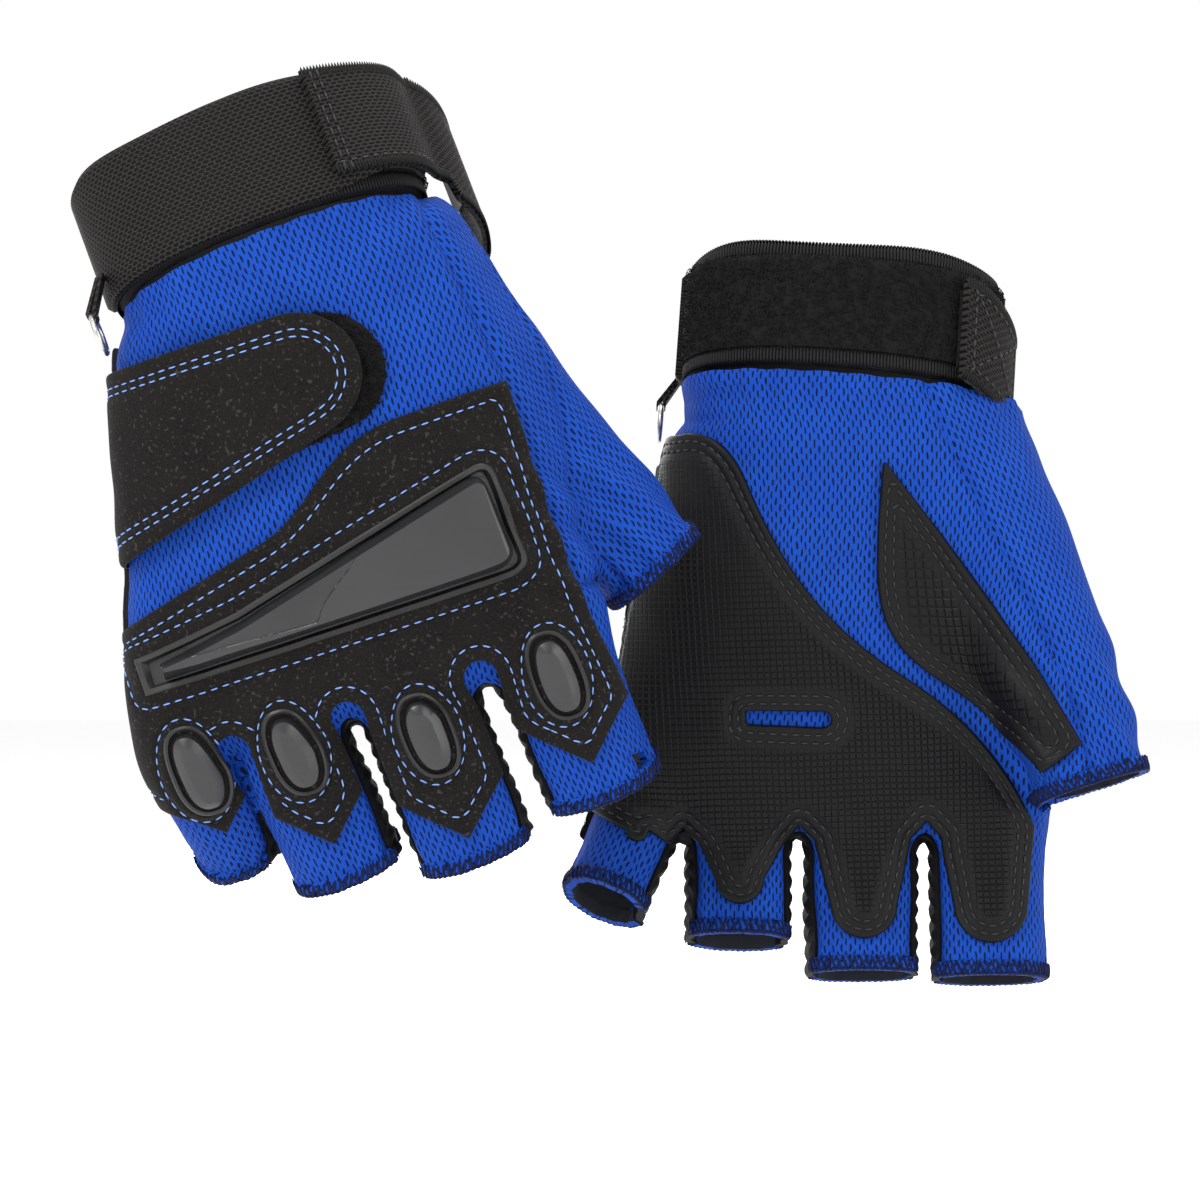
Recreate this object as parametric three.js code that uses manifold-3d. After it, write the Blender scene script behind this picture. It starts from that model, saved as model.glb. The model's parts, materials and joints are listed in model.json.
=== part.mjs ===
// A pair of half-finger riding gloves in the shape they take when worn: the right glove in front
// with its back to the front, the left glove behind it with its palm to the front.
// Millimetres, +Z up, fingers down. The origin is the middle of the right glove's wrist opening.
// Each glove is built in its own frame: x towards the thumb, y towards the palm, z up the wrist,
// with z = 0 at the lower edge of the cuff. "down" below means the distance below that edge.

import * as THREE from "three";
import { mergeVertices } from "three/addons/utils/BufferGeometryUtils.js";
import Module from "manifold-3d";

const wasm = await Module();
wasm.setup();

// ---------- driving dimensions ----------

const CLEARANCE = 0.3; // gap between faces that touch
const SMOOTHING = 0.12; // how far a finished face may move to shed needless facets

const FABRIC = 1.4; // mesh knit with its lining
const SUEDE = 1.3;
const LEATHER = 1.2;
const WEBBING = 1.8;
const LOOP_PILE = 1.1;
const HOOK_TAPE = 0.8;
const CUFF_WALL = 2.6;
const HEM_LENGTH = 3;

const CUFF_HEIGHT = 25;
const CUFF_BOTTOM = 1.2; // clear of the panels
const CUFF_TOP = CUFF_BOTTOM + CUFF_HEIGHT; // the wrist opening
const CUFF_HALF_WIDTH = 29.6; // middle of the cuff wall
const CUFF_HALF_DEPTH = 20.4;

const PALM_LENGTH = 85; // cuff to the crotches of the fingers
const PALM_HALF_WIDTH = 43.5; // across the knuckles
const PALM_HALF_DEPTH = 14.5; // at the knuckles
const WRIST_HALF_WIDTH = 30.6;
const WRIST_HALF_DEPTH = 20.6;
const CROTCH_DOWN = PALM_LENGTH - 2; // where the finger tubes come apart

const KNUCKLE_LINE = 58; // where the finger tubes start inside the palm

const GUARD_RISE = 2.9; // knuckle guard above its base
const PAD_RISE = 2.4; // finger pads above the suede
const PAD_HALF_WIDTH = 3.8;
const PAD_HALF_LENGTH = 7.8;
const FOURCHETTE_HALF_DEPTH = 5.4;
const NOTCH_HALF_WIDTH = 3.4;

const TAB_LENGTH = 19; // free end of the wrist strap
const FLAP_END_RADIUS = 11;
const RING_RADIUS = 3.6;
const RING_WIRE = 0.8;

// Finger tubes: half width, half depth, and the tabs of suede and leather that run down them.
const FINGERS = {
  index: { halfWidth: 11.2, halfDepth: 9.8, tabHalf: 10.3, tabBack: 5.5, padDown: 89.5 },
  middle: { halfWidth: 11.2, halfDepth: 9.8, tabHalf: 9.6, tabBack: 3.5, padDown: 93 },
  ring: { halfWidth: 10.5, halfDepth: 9.4, tabHalf: 8, tabBack: 6, padDown: 89 },
  pinky: { halfWidth: 8.5, halfDepth: 8.6, tabHalf: 5.6, tabBack: 4.5, padDown: 87 },
};

// How each hand holds its glove. A finger runs from x at the knuckle line, through x at the
// crotch, to its opening [x, down]; sink is how far the opening has curled towards the palm.
const POSES = {
  right: {
    lean: 16.8,
    wristLean: 4.2,
    wristFlex: 12,
    palmShift: [1.3, -2.4],
    fingers: {
      index: { knuckle: 27.5, crotch: 29, opening: [31.8, 113], sink: 8 },
      middle: { knuckle: 2.5, crotch: 2.7, opening: [5.3, 117.8], sink: 8 },
      ring: { knuckle: -20, crotch: -22, opening: [-18.8, 114], sink: 9 },
      pinky: { knuckle: -36, crotch: -40.8, opening: [-38, 104.5], sink: 16 },
    },
    thumb: { root: [22, 10.7], heel: [29.5, 27], joint: [38, 44.4], shank: [45.8, 60.3], opening: [53.5, 76.4] },
    tabPeel: 34,
  },
  left: {
    lean: 1.7,
    wristLean: -6,
    wristFlex: -12,
    palmShift: [-1.5, -5.4],
    fingers: {
      index: { knuckle: 25, crotch: 25.6, opening: [24.8, 116.8], sink: 6 },
      middle: { knuckle: 1.5, crotch: 0.6, opening: [-0.3, 115.2], sink: 6 },
      ring: { knuckle: -21, crotch: -23.6, opening: [-24.8, 107.7], sink: 6 },
      pinky: { knuckle: -36, crotch: -43.4, opening: [-51, 99], sink: 8 },
    },
    thumb: { root: [20, 10], heel: [27.5, 27], joint: [35.5, 46], shank: [41, 62], opening: [45.6, 78.6] },
    tabPeel: 0,
  },
};

// ---------- finishes ----------

const finish = (color, roughness, metalness = 0) =>
  () => new THREE.MeshStandardMaterial({ color, roughness, metalness });

const MESH_KNIT = finish(0x1a4fc4, 0.75);
const SUEDE_BLACK = finish(0x1d1b1a, 0.95);
const GRIP_LEATHER = finish(0x141415, 0.5);
const STRETCH_BLACK = finish(0x0d0d10, 0.8);
const WEBBING_BLACK = finish(0x1c1c1e, 0.7);
const PILE_BLACK = finish(0x141416, 1);
const GUARD_PLASTIC = finish(0x33363a, 0.35);
const RUBBER_BLACK = finish(0x111112, 0.55);
const HEM_NAVY = finish(0x14255c, 0.85);
const RING_STEEL = finish(0xb8b8bc, 0.3, 1);

// ---------- solids ----------

// A closed three.js geometry as a solid that can be joined and cut.
function solid(geometry) {
  const bare = geometry.clone();
  bare.deleteAttribute("normal");
  bare.deleteAttribute("uv");
  const merged = mergeVertices(bare, 1e-4);
  return new wasm.Manifold(
    new wasm.Mesh({
      numProp: 3,
      vertProperties: new Float32Array(merged.attributes.position.array),
      triVerts: new Uint32Array(merged.index.array),
    })
  );
}

// A solid as a mesh of its own.
function piece(name, body, material) {
  const { vertProperties, triVerts } = body.simplify(SMOOTHING).getMesh();
  const geometry = new THREE.BufferGeometry();
  geometry.setAttribute("position", new THREE.BufferAttribute(new Float32Array(vertProperties), 3));
  geometry.setIndex(new THREE.BufferAttribute(new Uint32Array(triVerts), 1));
  geometry.computeVertexNormals();
  const mesh = new THREE.Mesh(geometry, material());
  mesh.name = name;
  return mesh;
}

const join = (parts) => parts.reduce((whole, part) => whole.add(part));

// A box whose points are moved by place(a, b, c), each 0 to 1 along x, y and z.
function block(steps, place) {
  const geometry = new THREE.BoxGeometry(1, 1, 1, ...steps);
  const points = geometry.attributes.position;
  for (let i = 0; i < points.count; i += 1) {
    points.setXYZ(i, ...place(points.getX(i) + 0.5, points.getY(i) + 0.5, points.getZ(i) + 0.5));
  }
  return solid(geometry);
}

// An outline in x and down, as a straight bar from y = front to y = back.
function bar(outline, front, back) {
  const geometry = new THREE.ExtrudeGeometry(outline, {
    depth: back - front,
    bevelEnabled: false,
    curveSegments: 4,
  });
  geometry.rotateX(-Math.PI / 2);
  geometry.translate(0, front, 0);
  return solid(geometry);
}

const radians = THREE.MathUtils.degToRad;
const degrees = THREE.MathUtils.radToDeg;
const mix = THREE.MathUtils.lerp;

// The value at a distance down, from a list of [down, value] pairs in order.
function along(pairs, down) {
  const last = pairs.length - 1;
  if (down <= pairs[0][0]) return pairs[0][1];
  if (down >= pairs[last][0]) return pairs[last][1];
  const i = pairs.findIndex(([edge]) => edge > down);
  const [d0, v0] = pairs[i - 1];
  const [d1, v1] = pairs[i];
  return mix(v0, v1, (down - d0) / (d1 - d0));
}

// Axes of an oval section: across it, towards the palm, and onwards to the fingertips.
function sectionAxes({ lean = 0, curl = 0 }) {
  const l = radians(lean);
  const c = radians(curl);
  return {
    across: new THREE.Vector3(Math.cos(l), 0, Math.sin(l)),
    palmward: new THREE.Vector3(-Math.sin(l) * Math.sin(c), Math.cos(c), Math.cos(l) * Math.sin(c)),
    onward: new THREE.Vector3(Math.sin(l) * Math.cos(c), Math.sin(c), -Math.cos(l) * Math.cos(c)),
  };
}

// A tube-like solid through oval sections, grown outwards by grow and lengthened at either end.
function limb(sections, grow, { sides = 20, before = 0, after = 0 } = {}) {
  const last = sections.length - 1;
  const geometry = new THREE.CylinderGeometry(1, 1, 1, sides, last);
  const points = geometry.attributes.position;
  const squareness = 2 / 2.3;
  const bulge = (value) => Math.sign(value) * Math.abs(value) ** squareness;
  for (let i = 0; i < points.count; i += 1) {
    const step = Math.round((0.5 - points.getY(i)) * last);
    const section = sections[step];
    const { across, palmward, onward } = sectionAxes(section);
    const shift = step === 0 ? -before : step === last ? after : 0;
    const point = new THREE.Vector3(...section.at)
      .addScaledVector(onward, shift)
      .addScaledVector(across, bulge(points.getX(i)) * (section.halfWidth + grow))
      .addScaledVector(palmward, -bulge(points.getZ(i)) * (section.halfDepth + grow));
    points.setXYZ(i, ...point);
  }
  return solid(geometry);
}

// ---------- one glove ----------

function glove(side) {
  const pose = POSES[side];
  const group = new THREE.Group();
  const add = (name, body, material, parent = group) =>
    parent.add(piece(`${side}_${name}`, body, material));

  // -- the hand's form --

  const palmX = (down) => mix(...pose.palmShift, down / PALM_LENGTH);
  const wrist = { lean: pose.wristLean, curl: -pose.wristFlex };

  // Distance down, half width, half depth, how far the heel of the hand pulls the section towards
  // the thumb, and how much of the wrist's bend it takes.
  const palmSections = [
    [0, WRIST_HALF_WIDTH, WRIST_HALF_DEPTH, 0, 1],
    [5, WRIST_HALF_WIDTH + 3, WRIST_HALF_DEPTH + 0.6, 0.9, 0.8],
    [17, PALM_HALF_WIDTH - 7.2, WRIST_HALF_DEPTH - 0.4, 1.7, 0.3],
    [34, PALM_HALF_WIDTH - 4.8, PALM_HALF_DEPTH + 4.2, 1.4, 0],
    [54, PALM_HALF_WIDTH - 1.6, PALM_HALF_DEPTH + 2.4, 0.4, 0],
    [PALM_LENGTH - 14, PALM_HALF_WIDTH, PALM_HALF_DEPTH, 0, 0],
    [PALM_LENGTH - 6, PALM_HALF_WIDTH - 0.4, PALM_HALF_DEPTH - 2, 0, 0],
    [PALM_LENGTH, PALM_HALF_WIDTH - 3, PALM_HALF_DEPTH - 6, 0, 0],
  ].map(([down, halfWidth, halfDepth, heel, bend]) => ({
    at: [palmX(down) + heel, 0, -down],
    halfWidth,
    halfDepth,
    lean: wrist.lean * bend,
    curl: wrist.curl * bend,
  }));

  const fingerSections = Object.fromEntries(
    Object.entries(FINGERS).map(([name, { halfWidth, halfDepth }]) => {
      const { knuckle, crotch, opening, sink } = pose.fingers[name];
      const [endX, endDown] = opening;
      const middleDown = mix(CROTCH_DOWN, endDown, 0.5);
      const lean = degrees(Math.atan2(endX - crotch, endDown - CROTCH_DOWN));
      const curl = degrees(Math.atan2(sink * 0.7, (endDown - CROTCH_DOWN) / 2));
      const end = { at: [endX, sink, -endDown], halfWidth, halfDepth, lean, curl };
      const { onward } = sectionAxes(end);
      const back = (distance) => ({
        ...end,
        at: new THREE.Vector3(...end.at).addScaledVector(onward, -distance).toArray(),
      });
      return [
        name,
        {
          fabric: [
            { at: [knuckle, 0, -KNUCKLE_LINE], halfWidth: halfWidth - 1.5, halfDepth },
            {
              at: [crotch, sink * 0.1, -CROTCH_DOWN],
              halfWidth: halfWidth + 0.3,
              halfDepth: halfDepth + 0.6,
              curl: curl * 0.3,
            },
            {
              at: [mix(crotch, endX, 0.5), sink * 0.42, -middleDown],
              halfWidth: halfWidth + 0.1,
              halfDepth: halfDepth + 0.3,
              lean,
              curl: curl * 0.7,
            },
            back(HEM_LENGTH + CLEARANCE),
          ],
          hem: [back(HEM_LENGTH), end],
        },
      ];
    })
  );

  const { joint: thumbJoint, opening: thumbOpening } = pose.thumb;
  const thumbLean = degrees(
    Math.atan2(thumbOpening[0] - thumbJoint[0], thumbOpening[1] - thumbJoint[1])
  );
  const thumbEnd = {
    at: [thumbOpening[0], 18, -thumbOpening[1]],
    halfWidth: 10.8,
    halfDepth: 10.2,
    lean: thumbLean - 6,
    curl: 10,
  };
  const thumbBack = (distance) => ({
    ...thumbEnd,
    at: new THREE.Vector3(...thumbEnd.at)
      .addScaledVector(sectionAxes(thumbEnd).onward, -distance)
      .toArray(),
  });
  const thumbSections = {
    fabric: [
      { spot: pose.thumb.root, depth: 3, halfWidth: 14, halfDepth: 14 },
      { spot: pose.thumb.heel, depth: 7, halfWidth: 14.6, halfDepth: 15 },
      { spot: thumbJoint, depth: 12, halfWidth: 12.8, halfDepth: 13 },
      { spot: pose.thumb.shank, depth: 15.5, halfWidth: 11.8, halfDepth: 11.4 },
    ]
      .map(({ spot, depth, halfWidth, halfDepth }) => ({
        at: [spot[0], depth, -spot[1]],
        halfWidth,
        halfDepth,
        lean: thumbLean,
        curl: 12,
      }))
      .concat([thumbBack(HEM_LENGTH + CLEARANCE)]),
    hem: [thumbBack(HEM_LENGTH), thumbEnd],
  };

  const palmForm = (grow) => limb(palmSections, grow, { sides: 20, before: grow < 0 ? 6 : 0, after: grow });
  const digitForm = (sections, grow, sides = 10) =>
    limb(sections.fabric, grow, { sides, after: grow < 0 ? 6 : 0 });
  const forms = new Map();
  const form = (grow) => {
    if (!forms.has(grow)) {
      const digits = Object.values(fingerSections).map((sections) => digitForm(sections, grow));
      forms.set(grow, join([palmForm(grow), ...digits, digitForm(thumbSections, grow, 12)]));
    }
    return forms.get(grow);
  };
  const layer = (inner, outer) => form(outer).subtract(form(inner));

  // -- where the back ends and the palm begins, and the lines between the fingers --

  const order = ["pinky", "ring", "middle", "index"];
  const digitX = (name, down) => {
    const { knuckle, crotch, opening } = pose.fingers[name];
    return along([[KNUCKLE_LINE, knuckle], [CROTCH_DOWN, crotch], [opening[1], opening[0]]], down);
  };
  const digitSink = (name, down) => {
    const { opening, sink } = pose.fingers[name];
    const share = Math.max(0, (down - CROTCH_DOWN) / (opening[1] - CROTCH_DOWN));
    return sink * (0.1 * Math.min(1, down / CROTCH_DOWN) + 0.9 * share * (0.6 + 0.4 * share));
  };
  const sideLine = (x, down) => {
    if (down < 0) return -down * Math.tan(radians(pose.wristFlex));
    if (down < KNUCKLE_LINE) return 0;
    return along(order.map((name) => [digitX(name, down), digitSink(name, down)]), x) *
      Math.min(1, (down - KNUCKLE_LINE) / 10);
  };
  const betweenX = (left, right, down) => {
    const a = FINGERS[left].halfWidth;
    const b = FINGERS[right].halfWidth;
    return (digitX(left, down) + a + digitX(right, down) - b) / 2;
  };
  const gaps = [["pinky", "ring"], ["ring", "middle"], ["middle", "index"]];

  const DEEP = 45; // past every surface, front or back
  const halfBlock = (towards, margin) =>
    block([8, 1, 8], (a, b, c) => {
      const x = mix(-75, 85, a);
      const down = mix(140, -40, c);
      const near = sideLine(x, down) + towards * margin;
      const [low, high] = towards > 0 ? [near, DEEP] : [-DEEP, near];
      return [x, mix(low, high, b), -down];
    });
  const backHalf = halfBlock(-1, CLEARANCE / 2);
  const palmHalf = halfBlock(1, CLEARANCE / 2);

  // -- the thumb's seams: one down the back of the hand, one down the ball of the thumb --

  const thumbReach = thumbOpening[0] - POSES.left.thumb.opening[0];
  const backSeam = (down) =>
    palmX(down) + along([[0, 30], [34, 37.2], [62, 39.2], [78, 41.2]], down);
  const palmSeam = (down) =>
    along([[0, 15.5], [17, 22], [37, 31], [56, 39], [90, 46.5]], down) + thumbReach * Math.min(1, down / 75);
  const thumbRegion = (margin) =>
    block([3, 5, 7], (a, b, c) => {
      const y = mix(-DEEP, DEEP, b);
      const floor = a === 0 ? 74 + margin : 96;
      const down = mix(floor, -12, c);
      const turn = THREE.MathUtils.smoothstep(y, -6, 20);
      const seam = mix(backSeam(down), palmSeam(down), turn) - margin;
      return [mix(seam, 95, a ** 2), y, -down];
    });

  // -- shell panels --

  const skin = form(0).subtract(form(-FABRIC));
  const fourchetteRegion = ([left, right], margin) =>
    block([1, 1, 5], (a, b, c) => {
      const down = mix(130, PALM_LENGTH - 11 - margin, c);
      const x = betweenX(left, right, down);
      const half = along([[PALM_LENGTH - 12, 3], [PALM_LENGTH + 4, 5.5]], down) + margin;
      const middle = sideLine(x, down);
      const depth = FOURCHETTE_HALF_DEPTH + margin;
      return [x + mix(-half, half, a), middle + mix(-depth, depth, b), -down];
    });
  const takenByFourchettes = join(gaps.map((gap) => fourchetteRegion(gap, CLEARANCE)));
  const takenByThumb = thumbRegion(CLEARANCE);

  add("back_panel", skin.intersect(backHalf).subtract(takenByFourchettes).subtract(takenByThumb), MESH_KNIT);
  add("palm_panel", skin.intersect(palmHalf).subtract(takenByFourchettes).subtract(takenByThumb), MESH_KNIT);
  add("thumb_panel", skin.intersect(thumbRegion(0)), MESH_KNIT);
  for (const gap of gaps) {
    add(`fourchette_${gap[0]}_${gap[1]}`, skin.intersect(fourchetteRegion(gap, 0)), STRETCH_BLACK);
  }

  // -- hems at the five openings --

  const openings = { ...fingerSections, thumb: thumbSections };
  for (const [name, { hem }] of Object.entries(openings)) {
    const ring = limb(hem, CLEARANCE, { sides: 10 })
      .subtract(limb(hem, -FABRIC - CLEARANCE, { sides: 10, before: 1, after: 1 }));
    add(`hem_${name}`, ring, HEM_NAVY);
  }

  // -- suede over the back of the hand --

  const overSkin = CLEARANCE;
  const overSuede = overSkin + SUEDE + CLEARANCE;

  const tabTip = (name, back) => pose.fingers[name].opening[1] - back;
  const overlay = new THREE.Shape();
  overlay.moveTo(-62, 63);
  overlay.lineTo(palmX(50) - 14, 50.5);
  overlay.bezierCurveTo(palmX(45) - 4, 47.5, palmX(40) + 0, 37.5, palmX(36) + 14, 35.8);
  overlay.lineTo(backSeam(34.5) - 1, 34.5);
  overlay.lineTo(backSeam(62) - 1, 62);
  overlay.lineTo(backSeam(78) - 1, 78);
  for (const name of [...order].reverse()) {
    const half = FINGERS[name].tabHalf;
    const tip = tabTip(name, FINGERS[name].tabBack);
    const shoulder = tip - half;
    const x = digitX(name, shoulder);
    overlay.lineTo(x + half, shoulder);
    overlay.lineTo(digitX(name, tip), tip);
    overlay.lineTo(name === "pinky" ? -62 : x - half, name === "pinky" ? shoulder - 12 : shoulder);
    if (name === "pinky") continue;
    const next = order[order.indexOf(name) - 1];
    const notchX = betweenX(next, name, PALM_LENGTH);
    overlay.lineTo(notchX + NOTCH_HALF_WIDTH, PALM_LENGTH + 2);
    overlay.absarc(notchX, PALM_LENGTH + 1, NOTCH_HALF_WIDTH, 0, Math.PI, true);
  }
  overlay.closePath();

  const guardOutline = (inset) => {
    const shape = new THREE.Shape();
    const edge = palmX(65);
    shape.moveTo(edge - 42.5 + inset * 2, 64.5 + inset);
    shape.lineTo(edge - 22, 61.3 + inset);
    shape.lineTo(edge + 27 - inset, 48 + inset);
    shape.quadraticCurveTo(edge + 30.4 - inset, 47.4 + inset, edge + 30.8 - inset, 51 + inset);
    shape.lineTo(edge + 32 - inset, 66.5 - inset);
    shape.quadraticCurveTo(edge + 31.8 - inset, 69.6 - inset, edge + 28 - inset, 69.8 - inset);
    shape.lineTo(edge - 42.5 + inset * 2, 71.6 - inset);
    shape.closePath();
    return shape;
  };

  const suede = layer(overSkin, overSkin + SUEDE)
    .intersect(bar(overlay, -DEEP, DEEP))
    .intersect(halfBlock(-1, 1))
    .subtract(takenByFourchettes)
    .subtract(bar(guardOutline(-CLEARANCE), -DEEP, 0));
  add("back_overlay", suede, SUEDE_BLACK);

  const base = layer(overSkin, overSkin + SUEDE + 0.3).intersect(bar(guardOutline(0), -DEEP, -2));
  add("guard_base", base, RUBBER_BLACK);

  const guard = layer(overSuede + 0.3, overSuede + 0.3 + GUARD_RISE).intersect(bar(guardOutline(2), -DEEP, -2));
  add("knuckle_guard", guard, GUARD_PLASTIC);

  for (const name of order) {
    const { padDown } = FINGERS[name];
    const pad = new THREE.Shape();
    pad.absellipse(digitX(name, padDown), padDown, PAD_HALF_WIDTH, PAD_HALF_LENGTH, 0, 2 * Math.PI);
    const body = layer(overSuede, overSuede + PAD_RISE).intersect(bar(pad, -DEEP, 0));
    add(`finger_pad_${name}`, body, GUARD_PLASTIC);
  }

  // -- leather on the palm and on the ball of the thumb --

  const palmPad = new THREE.Shape();
  const heelX = palmX(10) - 37;
  palmPad.moveTo(heelX - 20, 10);
  palmPad.lineTo(heelX + 6, 7);
  palmPad.quadraticCurveTo(heelX + 14, 5.5, heelX + 18, 16);
  palmPad.bezierCurveTo(heelX + 24, 31, heelX + 30, 44, heelX + 50, 57);
  palmPad.quadraticCurveTo(heelX + 68, 70, digitX("index", 86) + 8.5, 86);
  for (const name of [...order].reverse()) {
    const tip = tabTip(name, name === "pinky" ? 12 : 8);
    const half = FINGERS[name].tabHalf - 3.4;
    const x = digitX(name, tip - half);
    palmPad.lineTo(x + half, tip - half);
    palmPad.absarc(x, tip - half, half, 0, Math.PI, false);
    if (name === "pinky") continue;
    const next = order[order.indexOf(name) - 1];
    const notchX = betweenX(next, name, PALM_LENGTH);
    palmPad.lineTo(notchX + NOTCH_HALF_WIDTH, PALM_LENGTH + 2.5);
    palmPad.lineTo(notchX, PALM_LENGTH - 1);
    palmPad.lineTo(notchX - NOTCH_HALF_WIDTH, PALM_LENGTH + 2.5);
  }
  palmPad.lineTo(heelX - 20, 76);
  palmPad.closePath();

  const slit = new THREE.Shape();
  slit.moveTo(-22, 61.5);
  slit.lineTo(-7, 62);
  slit.absarc(-7, 63.6, 1.6, -Math.PI / 2, Math.PI / 2, false);
  slit.lineTo(-22, 64.2);
  slit.closePath();

  const grip = layer(overSkin, overSkin + LEATHER)
    .intersect(bar(palmPad, -DEEP, DEEP))
    .intersect(halfBlock(1, 1))
    .subtract(takenByFourchettes)
    .subtract(bar(slit, 0, DEEP));
  add("palm_pad", grip, GRIP_LEATHER);

  const leaf = new THREE.Shape();
  const leafEnd = 38 + thumbReach;
  leaf.moveTo(6 + thumbReach * 0.2, 13);
  leaf.quadraticCurveTo(leafEnd - 9, 43, leafEnd + 4.5, 69.5);
  leaf.lineTo(leafEnd - 2.5, 75);
  leaf.quadraticCurveTo(leafEnd - 8, 66, leafEnd - 20, 58);
  leaf.bezierCurveTo(leafEnd - 36, 48, leafEnd - 35, 40, 6 + thumbReach * 0.2, 13);
  const patch = layer(overSkin, overSkin + LEATHER).intersect(bar(leaf, 2, DEEP));
  add("thumb_patch", patch, GRIP_LEATHER);

  // -- closure flap over the back of the hand, with its hook and loop --

  const patchX = palmX(24);
  const loopShape = new THREE.Shape();
  loopShape.moveTo(patchX - 14, 14);
  loopShape.lineTo(patchX + 5, 13);
  loopShape.absarc(patchX + 5, 24, FLAP_END_RADIUS, -Math.PI / 2, Math.PI / 2, false);
  loopShape.lineTo(patchX - 14, 38);
  loopShape.closePath();
  add("flap_loop", layer(overSkin, overSkin + LOOP_PILE).intersect(bar(loopShape, -DEEP, 0)), PILE_BLACK);

  const overLoop = overSkin + LOOP_PILE + CLEARANCE;
  const hookShape = new THREE.Shape();
  hookShape.moveTo(patchX - 12, 15);
  hookShape.lineTo(patchX + 1, 14);
  hookShape.absarc(patchX + 1, 23, FLAP_END_RADIUS - 2, -Math.PI / 2, Math.PI / 2, false);
  hookShape.lineTo(patchX - 12, 35);
  hookShape.closePath();
  add("flap_hook", layer(overLoop, overLoop + HOOK_TAPE).intersect(bar(hookShape, -DEEP, 0)), PILE_BLACK);

  const overHook = overLoop + HOOK_TAPE + CLEARANCE;
  const flapShape = new THREE.Shape();
  flapShape.moveTo(-60, 13);
  flapShape.lineTo(patchX, 11.4);
  flapShape.absarc(patchX, 23, FLAP_END_RADIUS + 0.6, -Math.PI / 2, Math.PI * 0.42, false);
  flapShape.lineTo(-38, 46.5);
  flapShape.lineTo(-60, 52);
  flapShape.closePath();
  const flap = layer(overHook, overHook + SUEDE)
    .intersect(bar(flapShape, -DEEP, DEEP))
    .intersect(halfBlock(-1, 0.8));
  add("closure_flap", flap, SUEDE_BLACK);

  // -- cuff: an inner band, loop pile round the palm side, webbing round the back --

  const cuff = new THREE.Group();
  const cuffAxes = sectionAxes(wrist);
  cuff.position.set(palmX(0), 0, 0);
  cuff.setRotationFromMatrix(
    new THREE.Matrix4().makeBasis(cuffAxes.across, cuffAxes.palmward, cuffAxes.onward.clone().negate())
  );
  group.add(cuff);

  const cuffTube = (grow, bottom, top) =>
    limb(
      [top, bottom].map((height) => ({
        at: [0, 0, height],
        halfWidth: CUFF_HALF_WIDTH,
        halfDepth: CUFF_HALF_DEPTH,
      })),
      grow,
      { sides: 20 }
    );
  const cuffLayer = (inner, outer, bottom, top) =>
    cuffTube(outer, bottom, top).subtract(cuffTube(inner, bottom - 1, top + 1));
  const cuffBlock = (x0, x1, y0, y1) =>
    block([1, 1, 1], (a, b, c) => [mix(x0, x1, a), mix(y0, y1, b), mix(-20, 50, c)]);

  const halfWall = CUFF_WALL / 2;
  add("cuff_band", cuffLayer(-halfWall, halfWall, CUFF_BOTTOM, CUFF_TOP), STRETCH_BLACK, cuff);

  const overCuff = halfWall + CLEARANCE;
  const facing = cuffLayer(overCuff, overCuff + LOOP_PILE, CUFF_BOTTOM + 2, CUFF_TOP - 2)
    .intersect(cuffBlock(-60, 60, 2, 60));
  add("loop_facing", facing, PILE_BLACK, cuff);

  const strap = cuffLayer(overCuff, overCuff + WEBBING, CUFF_BOTTOM + 0.5, CUFF_TOP - 0.5)
    .intersect(cuffBlock(-60, 60, -60, -0.8));
  add("wrist_strap", strap, WEBBING_BLACK, cuff);

  // The free end of the strap turns at the thumb edge and closes on the loop pile.
  const overFacing = overCuff + LOOP_PILE + CLEARANCE;
  const tabOut = overFacing + HOOK_TAPE + CLEARANCE;
  const tabEdge = CUFF_HALF_WIDTH + tabOut + WEBBING;
  const strapEnd = new THREE.Group();
  strapEnd.position.set(tabEdge, 0, 0);
  strapEnd.rotation.z = -radians(pose.tabPeel);
  cuff.add(strapEnd);
  const fromEdge = (body) => body.translate([-tabEdge, 0, 0]);
  const tabStart = tabEdge - TAB_LENGTH;
  const hook = cuffLayer(overFacing, overFacing + HOOK_TAPE, CUFF_BOTTOM + 3, CUFF_TOP - 3)
    .intersect(cuffBlock(tabStart + 2, 60, 5, 60));
  add("strap_hook", fromEdge(hook), PILE_BLACK, strapEnd);
  const tab = cuffLayer(tabOut, tabOut + WEBBING, CUFF_BOTTOM + 0.5, CUFF_TOP - 0.5)
    .intersect(cuffBlock(tabStart, 60, 0.6, 60));
  add("strap_end", fromEdge(tab), WEBBING_BLACK, strapEnd);

  // -- pairing ring in a loop of tape, sewn on the strap at the little-finger end of the cuff --

  const ringY = -12;
  const ringX = -(CUFF_HALF_WIDTH + overCuff + WEBBING + 1.9);
  const ringTop = CUFF_BOTTOM - 2.4;
  const keeper = block([1, 1, 1], (a, b, c) => {
    const flare = mix(0.6, -1.2, c);
    return [ringX - flare + mix(-1.5, 1.5, a), ringY + mix(-1.2, 1.2, b), mix(ringTop - 1.8, CUFF_BOTTOM + 4, c)];
  });
  const eye = new THREE.CylinderGeometry(RING_WIRE + 2 * CLEARANCE, RING_WIRE + 2 * CLEARANCE, 6, 8);
  eye.translate(ringX, ringY, ringTop);
  add("ring_loop", keeper.subtract(solid(eye)), WEBBING_BLACK, cuff);

  const wire = new THREE.TorusGeometry(RING_RADIUS, RING_WIRE, 6, 12);
  wire.rotateY(Math.PI / 2);
  wire.translate(ringX, ringY, ringTop - RING_RADIUS);
  add("pair_ring", solid(wire), RING_STEEL, cuff);

  return { group, cuff };
}

// ---------- the pair ----------

const LEFT_PLACE = [111.4, 50, -23]; // the left glove's frame from the right one's

const gloves = new THREE.Group();
const openings = {};

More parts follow.
